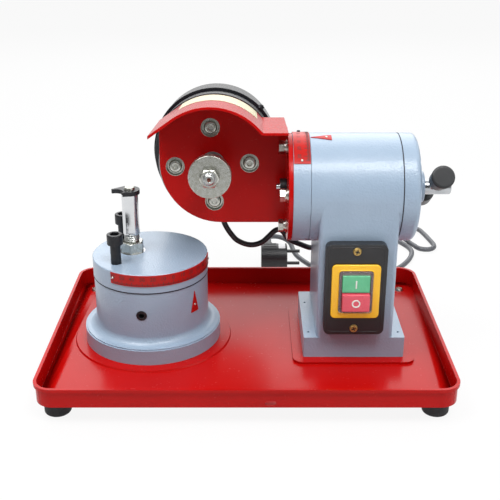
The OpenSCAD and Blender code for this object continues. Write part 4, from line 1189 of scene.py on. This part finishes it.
@dataclass
class MainsCord:
    """Free mains cord with its plug, in one curve from the column to the plug.

    Attributes:
        diameter: Thickness of the cord.
        coil: Middle of the coil behind the tray, from the tray's middle.
        inner: Radius of the coil's inner turn.
        outer: Radius of its outer turn.
        low: Height of the cord's middle where it lies on the bench.
        high: Height of its middle where it lies on another turn.
        plug: Where the plug's axis starts, which runs along X.
        plug_r: Radius of the plug's body.
    """

    diameter: float = 7.4
    coil: Point = (150.0, 228.0, 0.0)
    inner: float = 42.3
    outer: float = 49.7
    low: float = 4.2
    high: float = 11.6
    plug: Point = (18.0, 217.814, 20.0)
    plug_r: float = 20.0

    def wind(self, keys: list[Point], step: float) -> list[Point]:
        """Follows keys of angle, radius and height round the coil.

        Args:
            keys: Angle in degrees, radius and height.
            step: Degrees between points.

        Returns:
            Points from the first key to just before the last one.
        """
        out = []
        for (a0, r0, z0), (a1, r1, z1) in zip(keys, keys[1:]):
            count = max(1, round(abs(a1 - a0) / step))
            for i in range(count):
                t = i / count
                s = t * t * (3 - 2 * t)
                a = math.radians(a0 + (a1 - a0) * t)
                r = r0 + (r1 - r0) * s
                z = z0 + (z1 - z0) * s
                out.append((self.coil[0] + r * math.cos(a), self.coil[1] + r * math.sin(a), z))
        return out

    def coil_points(self) -> list[Point]:
        """Winds the first stretch of the coil: two turns, clockwise seen from above.

        Returns:
            Its points, from the tray's middle.
        """
        upper = [(180, self.outer), (-80, self.outer), (-132, self.inner), (-375, self.inner)]
        lower = [(-435, self.inner), (-545, self.inner), (-568, self.inner + 2.2)]
        return self.wind([(*key, self.high) for key in upper] + [(*key, self.low) for key in lower], 26)

    def route(self) -> list[Point]:
        """Lays out the whole route; a point without a height lies on the bench.

        Returns:
            Its points, from the tray's middle.
        """
        inlet = [(104, 86, 75), (104, 98, 74.6), (104, 116, 70), (103.5, 132, 61), (103, 146, 53.5),
                 (102.5, 160, 46.5), (102, 174, 36), (101.4, 187, 24.5), (100.7, 203, 14)]
        loop = [(111, 254), (119, 272), (128, 291), (136.5, 308), (145, 325), (154.5, 341), (167, 353.5),
                (181, 361), (195, 364), (208, 363.8, 5), (219, 361.6, 8), (229.5, 357.6, 11.7),
                (239, 351.6, 11.5), (247.5, 344, 8), (254.5, 335, 4.8), (259.5, 326), (262.3, 319),
                (267.5, 313.6), (275, 311.6), (282.5, 313.6), (287.6, 319.4), (289.6, 327), (289, 339),
                (287, 352), (284.6, 367), (281.6, 382), (278.6, 393), (272.3, 401.6), (263.4, 407.2),
                (253, 409.2), (242.4, 407.2), (233.2, 401.4), (227, 392.6), (224.6, 381), (226.4, 368),
                (231, 355.5), (237.6, 343.5), (244, 331), (249.2, 318), (250.8, 304), (248.2, 289.5),
                (243.2, 275.8), (236.8, 263), (228.8, 250.5), (219, 238.5), (208, 226), (196, 212)]
        under = [(-41, self.outer - 2), (-75, self.outer), (-176, self.outer)]
        last = self.wind([(*key, self.low) for key in under], 24)
        rise = [(96.5, 244), (88.5, 258), (81, 272), (75, 285, 4.6), (70.5, 297, 6.5), (68, 308.5, 9.5),
                (65.2, 317.5, 13), (58.8, 324, 16), (50, 326.4, 18.6), (41.2, 324, 20.8),
                (34.8, 317.5, 22.6), (32.2, 308.5, 23.8), (32, 300, 24.5), (32, 293, 24.5), (32, 286, 24.5)]
        laid = [(*p[:2], p[2] if len(p) > 2 else self.low) for p in loop + last + rise]
        return inlet + self.coil_points() + laid

    def build(self) -> None:
        points = [AT.tray @ Vector(p) for p in self.route()]
        curve = bpy.data.curves.new("mains_lead", "CURVE")
        curve.dimensions = "3D"
        curve.resolution_u = 6
        curve.bevel_resolution = 5
        curve.bevel_depth = self.diameter / 2 * MM
        curve.use_fill_caps = True
        curve.materials.append(GREY_CORD.build())
        spline = curve.splines.new("BEZIER")
        spline.bezier_points.add(len(points) - 1)
        for knot, point in zip(spline.bezier_points, points):
            knot.co = point * MM
            knot.handle_left_type = knot.handle_right_type = "AUTO"
        lead = link("mains_lead", curve)
        bpy.context.view_layer.update()
        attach(lead, "base")
        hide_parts("mains_cord", "mains_coil")
        plug = Part("plug", BLACK_ABS, 0.8).build()
        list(self.grip())

    def grip(self) -> list[Piece]:
        """Moulds the plug's grip ribs and rim, and lays its blank film.

        Returns:
            The three pieces.
        """
        axis = shift(*self.plug) @ turn(90, "Y")
        rib = make("grip_rib", *prism([(-0.6, -1.1), (0.5, -0.7), (0.5, 0.7), (-0.6, 1.1)], 3.5, 22.0))
        angles = [a for a in range(75, 286, 15) if abs(a - 90) > 20]
        places = [axis @ turn(a, "Z") @ shift(self.plug_r - 0.05) for a in angles]
        ribs = copies("grip_ribs", rib, places, "base", BLACK_ABS)
        collar = lathe([(19.0, 37.2), (17.6, 37.6), (16.8, 37.6), (16.4, 37.2)], 48)
        rim = mount(make("plug_rim", *collar, axis), "base", BLACK_ABS)
        blank = film("plug_label", axis, self.plug_r + 0.04, (-105, -62), (25, 34.5), "base", WHITE_FILM)
        return [ribs, rim, blank]


@dataclass
class MotorLead:
    """Rubber lead from the motor to the column, with room for the head to tilt and slide.

    Attributes:
        radius: Half its thickness.
        gland: Where it leaves the motor's gland, from the tray's middle.
        joint: Point, counted from the gland, where its two halves meet.
        held: Point that stands still beside the column; not used.
        points: Its route, from the tray's middle.
    """

    radius: float = 3.3
    gland: Flat = (-28.0, 57.48)
    joint: int = 11
    held: int = 17
    points: tuple[Point, ...] = (
        (-25, 56.9, 140.46), (-19.6, 57, 131.6), (-12.3, 57, 123.2), (-1.3, 57, 117.9), (8.5, 57, 117.1),
        (18.3, 57, 120.5), (25.5, 57, 127.1), (31, 57, 132.9), (34.8, 57, 136), (38.6, 57, 137),
        (42.4, 57, 135.6), (45.6, 57, 131.6), (49, 57, 126.4), (56.1, 58, 121.2), (66.3, 62, 115.2),
        (76.8, 70, 108.1), (84, 82, 103.5), (93, 98, 100.5), (106, 108.5, 99), (119, 108, 98.2),
        (129, 100, 98), (131, 93, 98), (131, 86, 98),
    )

    def start(self) -> list[Vector]:
        """Returns the two points under the motor's gland, square to it."""
        first = Vector((*self.gland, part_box("motor_lead")[1][2] / MM - 0.4))
        return [first, first - 5 * (turn(-AT.tilt, "X") @ Vector((0, 0, 1)))]

    def smooth(self, knots: list[Vector], steps: int) -> list[Vector]:
        """Runs a smooth line through the knots.

        Args:
            knots: Points that the line passes.
            steps: Points from one knot to the next.

        Returns:
            The line's points, with the last knot.
        """
        out = []
        for i in range(len(knots) - 1):
            p0, p1, p2, p3 = (knots[max(0, min(len(knots) - 1, i + d))] for d in (-1, 0, 1, 2))
            slope, bend, twist = p2 - p0, 2 * p0 - 5 * p1 + 4 * p2 - p3, 3 * p1 - p0 - 3 * p2 + p3
            for k in range(steps):
                t = k / steps
                out.append(0.5 * (2 * p1 + slope * t + bend * t**2 + twist * t**3))
        return out + [knots[-1]]

    def tube(self, name: str, path: list[Vector]) -> Piece:
        """Sweeps a round tube along a path.

        Args:
            name: Piece name.
            path: Middle of the tube, from the tray's middle.

        Returns:
            The tube.
        """
        sides, points = 14, []
        side = Vector((0, 1, 0))
        for i, here in enumerate(path):
            along = (path[min(i + 1, len(path) - 1)] - path[max(i - 1, 0)]).normalized()
            side = (side - along * side.dot(along)).normalized()
            up = along.cross(side)
            for k in range(sides):
                a = 2 * math.pi * k / sides
                points.append(here + self.radius * (math.cos(a) * side + math.sin(a) * up))
        faces = ring_faces(sides, len(path), True)
        faces += [list(range(sides))[::-1], list(range(len(points) - sides, len(points)))]
        return wear(make(name, points, faces, AT.tray, crease=60), CORD_PVC)

    def build(self) -> None:
        """Makes the two halves, split at the joint."""
        knots = self.start() + [Vector(p) for p in self.points]
        steps = 5
        line = self.smooth(knots, steps)
        cut = self.joint * steps
        front = self.tube("motor_lead_front", line[: cut + 1])
        rear = self.tube("motor_lead_rear", line[cut:])
        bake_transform(front)
        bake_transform(rear)
        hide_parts("motor_lead")
        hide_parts("column_lead")
        log.info("motor_lead_front bends from head to quill, motor_lead_rear from quill to base")


# ------------------------------------------------------------------ sub-assemblies


@dataclass
class DripTray(Assembly):
    """Pressed steel tray with its welded corners, feet and the bolts of what stands on it."""

    def pan(self) -> None:
        """Joins the tray and its corners into one enamelled pan with softened folds."""
        points: list[Point] = []
        faces: Faces = []
        for node in ("tray", "tray_corners"):
            mesh = frame["nodes"][node].data
            base = len(points)
            points += [tuple(v.co * PER_M) for v in mesh.vertices]
            faces += [[base + i for i in p.vertices] for p in mesh.polygons]
        pan = make("tray_pan", points, faces, close=False)
        with edited(pan.data) as work:
            cut = [face for face in work.faces if self.at_seam(face)]
            bmesh.ops.delete(work, geom=cut, context="FACES")
            join_flats(work)
        break_edges(pan, 0.7, 3, 40)
        mount(pan, "base", RED_ENAMEL, "tray", "tray_corners")

    def at_seam(self, face: bmesh.types.BMFace, near: float = 0.02, square: float = 0.99) -> bool:
        """Tells whether a face lies in the joint between a wall and a corner.

        Args:
            face: The face.
            near: Largest distance from the joint, in millimetres.
            square: Smallest share of the face's normal that points along the wall.

        Returns:
            Whether both of the joined pieces have it, so that the pan does without.
        """
        middle = face.calc_center_median() * PER_M - AT.tray.translation
        edge_x, edge_y = AT.tray_w / 2 - AT.corner, AT.tray_d / 2 - AT.corner
        past_x, past_y = abs(middle.x) - edge_x, abs(middle.y) - edge_y
        on_x = abs(past_x) < near and abs(face.normal.x) > square and past_y > 0
        on_y = abs(past_y) < near and abs(face.normal.y) > square and past_x > 0
        on_z = abs(middle.z - AT.floor_z) < near and past_x > 0 and past_y > 0
        under_wall = Vector((past_x, past_y)).length > AT.bend - AT.wall - 0.3
        return on_x or on_y or (on_z and under_wall)

    def beads(self, rows: int = 9, across: int = 5) -> None:
        """Lays the thin weld bead down each corner, outside and inside.

        Args:
            rows: Points up each bead.
            across: Points across it.
        """
        points: list[Point] = []
        faces: Faces = []
        walls = ((1, AT.bend), (-1, AT.bend - AT.wall - 0.05))
        for sx, sy, (out, radius) in product((-1, 1), (-1, 1), walls):
            base = len(points)
            for j, k in product(range(rows), range(across)):
                aside = k - across // 2
                a = math.radians(45 + aside * 1.3)
                ripple = 1 + 0.25 * math.sin(j * 2.2)
                r = radius + out * (0.28 - 0.07 * aside**2) * ripple
                x = AT.tray_x + sx * (AT.tray_w / 2 - AT.corner + r * math.cos(a))
                y = AT.tray_y + sy * (AT.tray_d / 2 - AT.corner + r * math.sin(a))
                points.append((x, y, AT.floor_z + 0.5 + j * 1.9))
            quads = [[base + i for i in q] for q in ring_faces(across, rows, False)]
            inside_out = (sx * sy < 0) != (out < 0)
            faces += [q[::-1] for q in quads] if inside_out else quads
        mount(make("corner_beads", points, faces, close=False), "base", RED_ENAMEL)

    def details(self) -> None:
        """Adds the pan and its beads."""
        self.pan()
        self.beads()


@dataclass
class BladeTable(Assembly):
    """Swivelling table on its pedestal, with its scale, post, pawl and clamp screws.

    Attributes:
        dial: Scale on the disc.
        pointer: Strip on the pedestal that points at it.
        post_root: Radius at the bottom of the post's thread.
        post_pitch: Rise of one turn of it.
        bar_foot: Height at which the post's plain bar starts.
    """

    dial: Dial = Dial("table_dial", AT.disc, radius=67.3, low=114.9, width=13.3, centre=28, half=63,
                      body="table")
    pointer: Dial = Dial("table_arrow", AT.disc, radius=66.8, low=72.2, width=26, centre=53, half=5,
                         body="base")
    post_root: float = 8.04
    post_pitch: float = 2.3
    bar_foot: float = 152.2

    def details(self) -> None:
        """Prints the scale, cuts the post's thread and adds the rings."""
        dial, pointer = self.dial, self.pointer
        dial.build()
        dial.rivets([(dial.centre + side * 60.8, 121.5) for side in (-1, 1)])
        pointer.rivets([(pointer.centre, pointer.low + 9)])
        post = shift(*AT.post[:2])
        reach = (141.8, self.bar_foot - 1.2)
        thread("post_thread", self.post_root, self.post_pitch, reach, post, "post", SPANGLE)
        self.bands(post)
        self.seam()
        self.washer(post)

    def bands(self, post: Matrix) -> None:
        """Turns a fine raised band round the foot of the post's bar.

        Args:
            post: The post's axis.
        """
        ring = make("post_band", *lathe([(9.0, -0.5), (9.62, -0.35), (9.62, 0.35), (9.0, 0.5)], 40))
        copies("post_bands", ring, [post @ shift(0, 0, self.bar_foot)], "post", CHROME)

    def seam(self) -> None:
        """Sets a dark ring of painted shade in the gap under the disc's lower edge."""
        z = AT.pedestal_top
        profile = [(65.6, z - 1.1), (66.62, z - 1.0), (66.62, z + 0.15), (65.6, z + 0.25)]
        # Painted shade: a dark ring that stands in for the shadow in the gap under the disc.
        mount(make("disc_joint", *lathe(profile, 120), AT.disc), "base", JOINT_SHADOW)

    def washer(self, post: Matrix) -> None:
        """Lays the machined ring under the jam nut.

        Args:
            post: The post's axis.
        """
        z = AT.table[2]
        profile = [(8.1, z + 0.02), (14.7, z + 0.02), (14.7, z - 0.28), (14.4, z - 0.29)]
        mount(make("nut_seat", *lathe(profile, 48), post), "table", GROUND_STEEL)


@dataclass
class Column(Assembly):
    """Cast column with its barrel, cap, pointer and screws.

    Attributes:
        pointer: Strip on the barrel that points at the head's scale.
        barrel_r: Radius of the barrel.
    """

    pointer: Dial = Dial("barrel_arrow", shift(0, AT.barrel_y, AT.barrel_z) @ LYING, radius=61.4, low=-90.5,
                         width=23, centre=-9.5, half=5, body="base")
    barrel_r: float = 60.6

    def seam(self) -> None:
        """Sets a dark ring of painted shade in the joint between the barrel and its cap."""
        face = self.barrel_r + 0.12
        profile = [(self.barrel_r - 0.6, -0.75), (face, -0.6), (face, 0.6), (self.barrel_r - 0.6, 0.75)]
        # Painted shade: a dark ring a little proud of the barrel, standing in for the shadow in the cap's
        # groove.
        ring = make("joint_ring", *lathe(profile, 120))
        copies("cap_joint", ring, [AT.barrel @ shift(0, 0, AT.barrel_x1 + 0.2)], "base", JOINT_SHADOW)

    def details(self) -> None:
        """Rivets the pointer and shades the cap's joint."""
        self.pointer.rivets([(self.pointer.centre, -85)])
        self.seam()


@dataclass
class Switch(Assembly):
    """Two-key switch in its yellow bezel, under a clear boot.

    Attributes:
        x: Middle of the switch, across.
        bead_sides: Faces round a raised line.
    """

    x: float = 116.7
    bead_sides: int = 8

    def front(self, node: str) -> tuple[float, float, float, float]:
        """Measures the front of one of the switch's solids.

        Args:
            node: Name of the solid.

        Returns:
            Its width, its height, the height of its middle and its foremost depth.
        """
        low, high = (Vector(corner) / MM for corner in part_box(node))
        return high.x - low.x, high.z - low.z, (low.z + high.z) / 2, low.y

    def marks(self) -> None:
        """Moulds the white bar of the green key and the white ring of the red one."""
        bar = prism([(-0.8, -4.6), (0.8, -4.6), (0.8, 4.6), (-0.8, 4.6)], 0, 0.6)
        ring = lathe([(3.2, 0), (3.2, 0.6), (4.7, 0.6), (4.7, 0), (3.2, 0)], 40)
        for name, key, shape in (("start_mark", "start_button", bar), ("stop_mark", "stop_button", ring)):
            *_, z, y = self.front(key)
            mark = make(name, *shape, shift(self.x, y + 0.05, z) @ turn(90, "X"))
            mount(break_edges(mark, 0.2), key, WHITE_MARK)

    def rims(self) -> None:
        """Runs the raised line round the black plate and the lip round the bezel's window."""
        w, h, z, y = self.front("switch_plate")
        self.bead("plate_line", (w - 7, h - 7, 6), (z, y + 0.25), 0.55, BLACK_ABS)
        w, h, z, _ = self.front("switch_boot")
        *_, y = self.front("switch_bezel")
        self.bead("boot_lip", (w + 1.6, h + 1.6, 4), (z, y + 0.1), 0.8, YELLOW_ABS)

    def bead(self, name: str, outline: Point, middle: Flat, size: float, finish: Finish) -> None:
        """Runs a round bead along a rectangle with round corners.

        Args:
            name: Piece name.
            outline: Width and height to the bead's middle, and the corner radius.
            middle: Height and depth of the rectangle's middle.
            size: Radius of the bead.
            finish: Its surface.
        """
        w, h, r = outline
        z, y = middle
        path = []
        for sx, sz, start in ((1, 1, 0), (-1, 1, 90), (-1, -1, 180), (1, -1, 270)):
            for k in range(7):
                a = math.radians(start + 15 * k)
                x = sx * (w / 2 - r) + r * math.cos(a)
                path.append(Vector((x, sz * (h / 2 - r) + r * math.sin(a))))
        points, sides, n = [], self.bead_sides, len(path)
        for i, here in enumerate(path):
            along = (path[(i + 1) % n] - path[i - 1]).normalized()
            for k in range(sides):
                a = 2 * math.pi * k / sides
                out, depth = size * math.cos(a), size * math.sin(a)
                points.append((self.x + here.x + along.y * out, y - depth, z + here.y - along.x * out))
        faces = ring_faces(sides, n + 1, True)
        faces = [[corner % len(points) for corner in quad] for quad in faces]
        mount(make(name, points, faces, crease=60), "base", finish)

    def recesses(self, arm: float = 2.5, half: float = 0.5) -> None:
        """Sets dark crosses on the heads of the two plate screws: painted shade in place of the shadow in
        their cross recesses.

        Args:
            arm: Length of each arm from the middle.
            half: Half its width.
        """
        quarter = [(-half, -arm), (half, -arm), (half, -half)]
        turns = [(1, 0), (0, 1), (-1, 0), (0, -1)]
        cross = [(x * c - y * s, x * s + y * c) for c, s in turns for x, y in quarter]
        # Painted shade: each dark cross stands a little proud of a screw head, where the recess's shadow
        # would fall.
        shape = make("screw_cross", *prism(cross, -0.5, 0.08))
        places = []
        for i, (low, high) in enumerate(islands("switch_screws", Matrix())):
            middle = (low + high) / 2
            places.append(shift(middle.x, low.y, middle.z) @ turn(90, "X") @ turn(25 + 40 * i, "Z"))
        copies("screw_crosses", shape, places, "base", BLACK_OXIDE)

    def details(self) -> None:
        """Adds the painted shade of the screws' cross recesses, the key marks and the raised lines."""
        self.recesses()
        self.marks()
        self.rims()


@dataclass
class Head(Assembly):
    """Tilting head: ring, bracket with its hood, motor and the wheel spindle.

    Attributes:
        dial: Scale on the tilting ring.
        label: Angles and reach of the hood's film, round and along the motor's axis.
        face: Front of the counterbores, along the motor's axis.
        tip: End of the spindle, along the motor's axis.
        shaft_root: Radius at the bottom of the spindle's thread.
        collar_r: Radius at which the screw of the motor's black ring sits.
    """

    dial: Dial = Dial("tilt_dial", AT.head @ LYING, radius=61.4, low=-66.3, width=17.9, centre=-16.5,
                      half=38.6, body="head", figure=4.2)
    label: tuple[Flat, Flat] = ((-32, 45), (29, 90))
    face: float = 19.3
    tip: float = -71.2
    shaft_root: float = 6.03
    collar_r: float = 77.5

    def motor_screws(self) -> None:
        """Sets each motor screw in its bare counterbore."""
        face = self.face
        screws = islands("motor_bolts", AT.motor)
        places = [AT.motor @ shift(*((low + high) / 2).xy) for low, high in screws]
        wall = [(9.9, face + 4.9), (10.15, face + 0.4), (10.3, face - 0.12), (10.75, face - 0.1),
                (10.75, face - 0.02)]
        copies("counterbores", make("counterbore", *lathe(wall, 48)), places, "head", ZINC)
        top = screws[0][0].z
        head = [(0, top + 1.3), (2.6, top + 1.3), (2.9, top + 0.25), (4.6, top), (6.2, top + 0.5),
                (7.3, top + 1.8), (7.6, top + 3.0), (7.6, face + 4.6), (9.7, face + 4.7),
                (9.9, face + 4.95), (4, face + 4.99)]
        copies("motor_screws", make("motor_screw", *lathe(head, 40)), places, "head", ZINC, "motor_bolts")

    def spindle_end(self) -> None:
        """Turns the domed end of the spindle with its rusty centre hole and its thread."""
        tip = self.tip
        back = AT.motor.inverted() @ Matrix.Scale(PER_M, 4)
        with edited(bpy.data.objects["spindle_cast"].data, weld=False) as work:
            ends = [f for f in work.faces if (back @ f.calc_center_median()).z < tip + 2.3]
            bmesh.ops.delete(work, geom=ends, context="FACES")
        dome = [(5.95, tip + 3.2), (5.95, tip + 2.1), (5.5, tip + 1.2), (4.6, tip + 0.5), (3.4, tip + 0.08),
                (2.5, tip + 0.04), (2.2, tip + 0.3), (2.1, tip + 0.9)]
        mount(make("spindle_dome", *lathe(dome, 40), AT.motor), "spindle", SPANGLE)
        hole = [(0, tip + 2.2), (1.3, tip + 1.7), (2.12, tip + 0.7)]
        mount(make("centre_hole", *lathe(hole, 24), AT.motor), "spindle", RUST)
        reach = (tip + 2.6, tip + 5.5)
        thread("spindle_thread", self.shaft_root, 1.5, reach, AT.motor, "spindle", GROUND_STEEL)

    def ring_screw(self, angle: float = 47.0, back: float = 127.5) -> None:
        """Adds the clamp screw on the motor's black ring.

        Args:
            angle: Where it sits round the motor, from straight above the axis.
            back: Where it sits along the motor's axis.
        """
        spot = AT.motor @ turn(angle, "Z") @ shift(0, -self.collar_r, back) @ turn(90, "X")
        body = [(0, 3.6), (1.2, 3.6), (1.3, 3.0), (2.9, 3.0), (3.3, 2.6), (3.3, 0.4), (4.2, 0.3),
                (4.3, -1.5)]
        mount(make("ring_screw", *lathe(body, 24), spot), "head", BLACK_OXIDE)

    def ring_peg(self) -> None:
        """Adds the rivet of the ring's scale and the peg behind it."""
        self.dial.rivets([(-51.5, -57)])
        peg = lathe([(0, 2.0), (1.5, 1.9), (1.9, 1.5), (1.9, -0.5)], 20)
        mount(make("ring_peg", *peg, self.dial.at(13.5, -56)), "head", BLACK_OXIDE)

    def details(self) -> None:
        """Adds the blank film, scale, screws and spindle end."""
        film("hood_label", AT.motor, AT.hood_r + 0.12, *self.label, "head", CREAM_FILM)
        self.dial.build()
        self.motor_screws()
        self.spindle_end()
        self.ring_screw()
        self.ring_peg()


def main() -> None:
    """Builds the studio, the cords and each sub-assembly in order."""
    logging.basicConfig(level=logging.INFO, format="%(message)s")
    Studio().build()
    MainsCord().build()
    MotorLead().build()
    DripTray(
        parts=[Part("feet", RUBBER, 0.8), Part("mount_bolts", ZINC, 0.4), Part("foot_screws", ZINC, 0.2)],
    ).build()
    BladeTable(
        parts=[Part("pedestal", BLUE_HAMMER, 0.8), Part("lock_screw", BLACK_OXIDE, 0.3),
               Part("table_pointer", RED_STRIP, 0.1), Part("swivel_disc", BLUE_HAMMER, 0.7),
               Part("table_scale", RED_STRIP, 0.1), Part("clamp_screws", BLACK_OXIDE, 0.5),
               Part("jam_nut", ZINC, 0.5), Part("stop_post", CHROME, 0.5), Part("pawl", BLACK_OXIDE, 0.5),
               Part("pawl_screw", ZINC, 0.3)],
        hidden={"pivot_screw": ZINC},
    ).build()
    Column(
        parts=[Part("column", BLUE_HAMMER, 1.0), Part("barrel_cap", BLUE_HAMMER, 0.9),
               Part("cap_screws", BLACK_OXIDE, 0.4), Part("barrel_pointer", RED_STRIP, 0.1),
               Part("cord_glands", BLACK_ABS, 0.5)],
        hidden={"thrust_plate": GROUND_STEEL, "key_screw": BLACK_OXIDE, "feed_nut": BRASS},
    ).build()
    Switch(
        parts=[Part("switch_plate", BLACK_ABS, 1.6), Part("switch_bezel", YELLOW_ABS, 1.1),
               Part("switch_boot", CLEAR_BOOT, 0.9), Part("switch_screws", BRASS, 0.25),
               Part("start_button", GREEN_KEY, 0.9), Part("stop_button", RED_KEY, 0.9)],
        hidden={"switch_block": BLACK_ABS},
    ).build()
    Assembly(
        parts=[Part("feed_screw", GROUND_STEEL, 0.4), Part("cross_bar", GROUND_STEEL, 0.3),
               Part("knobs", BLACK_ABS, 1.2), Part("quill", GROUND_STEEL, 0.4),
               Part("clamp_stud", GROUND_STEEL, 0.3), Part("clamp_nut", BLACK_OXIDE, 0.4)],
    ).build()
    Head(
        parts=[Part("tilt_ring", BLUE_HAMMER, 0.5), Part("tilt_scale", RED_STRIP, 0.1),
               Part("head_bracket", RED_ENAMEL, 0.6), Part("flange_bolts", ZINC, 0.4),
               Part("front_bell", CAST_ALUMINIUM, 0.8), Part("stator_body", MOTOR_GREY, 0.4),
               Part("rear_bell", MOTOR_GREY, 0.8), Part("clamp_ring", BLACK_ENAMEL, 0.7),
               Part("fan_cowl", BLACK_ENAMEL, 0.6), Part("motor_gland", BLACK_ABS, 0.5),
               Part("spindle", GROUND_STEEL, 0.3), Part("wheel_flanges", ZINC, 0.6),
               Part("spindle_nut", ZINC, 0.5)],
        hidden={"stator_core": LAMINATION, "windings": COPPER, "motor_bearings": GROUND_STEEL,
                "rotor_core": LAMINATION, "fan": BLACK_ABS},
    ).build()


if __name__ == "__main__":
    main()
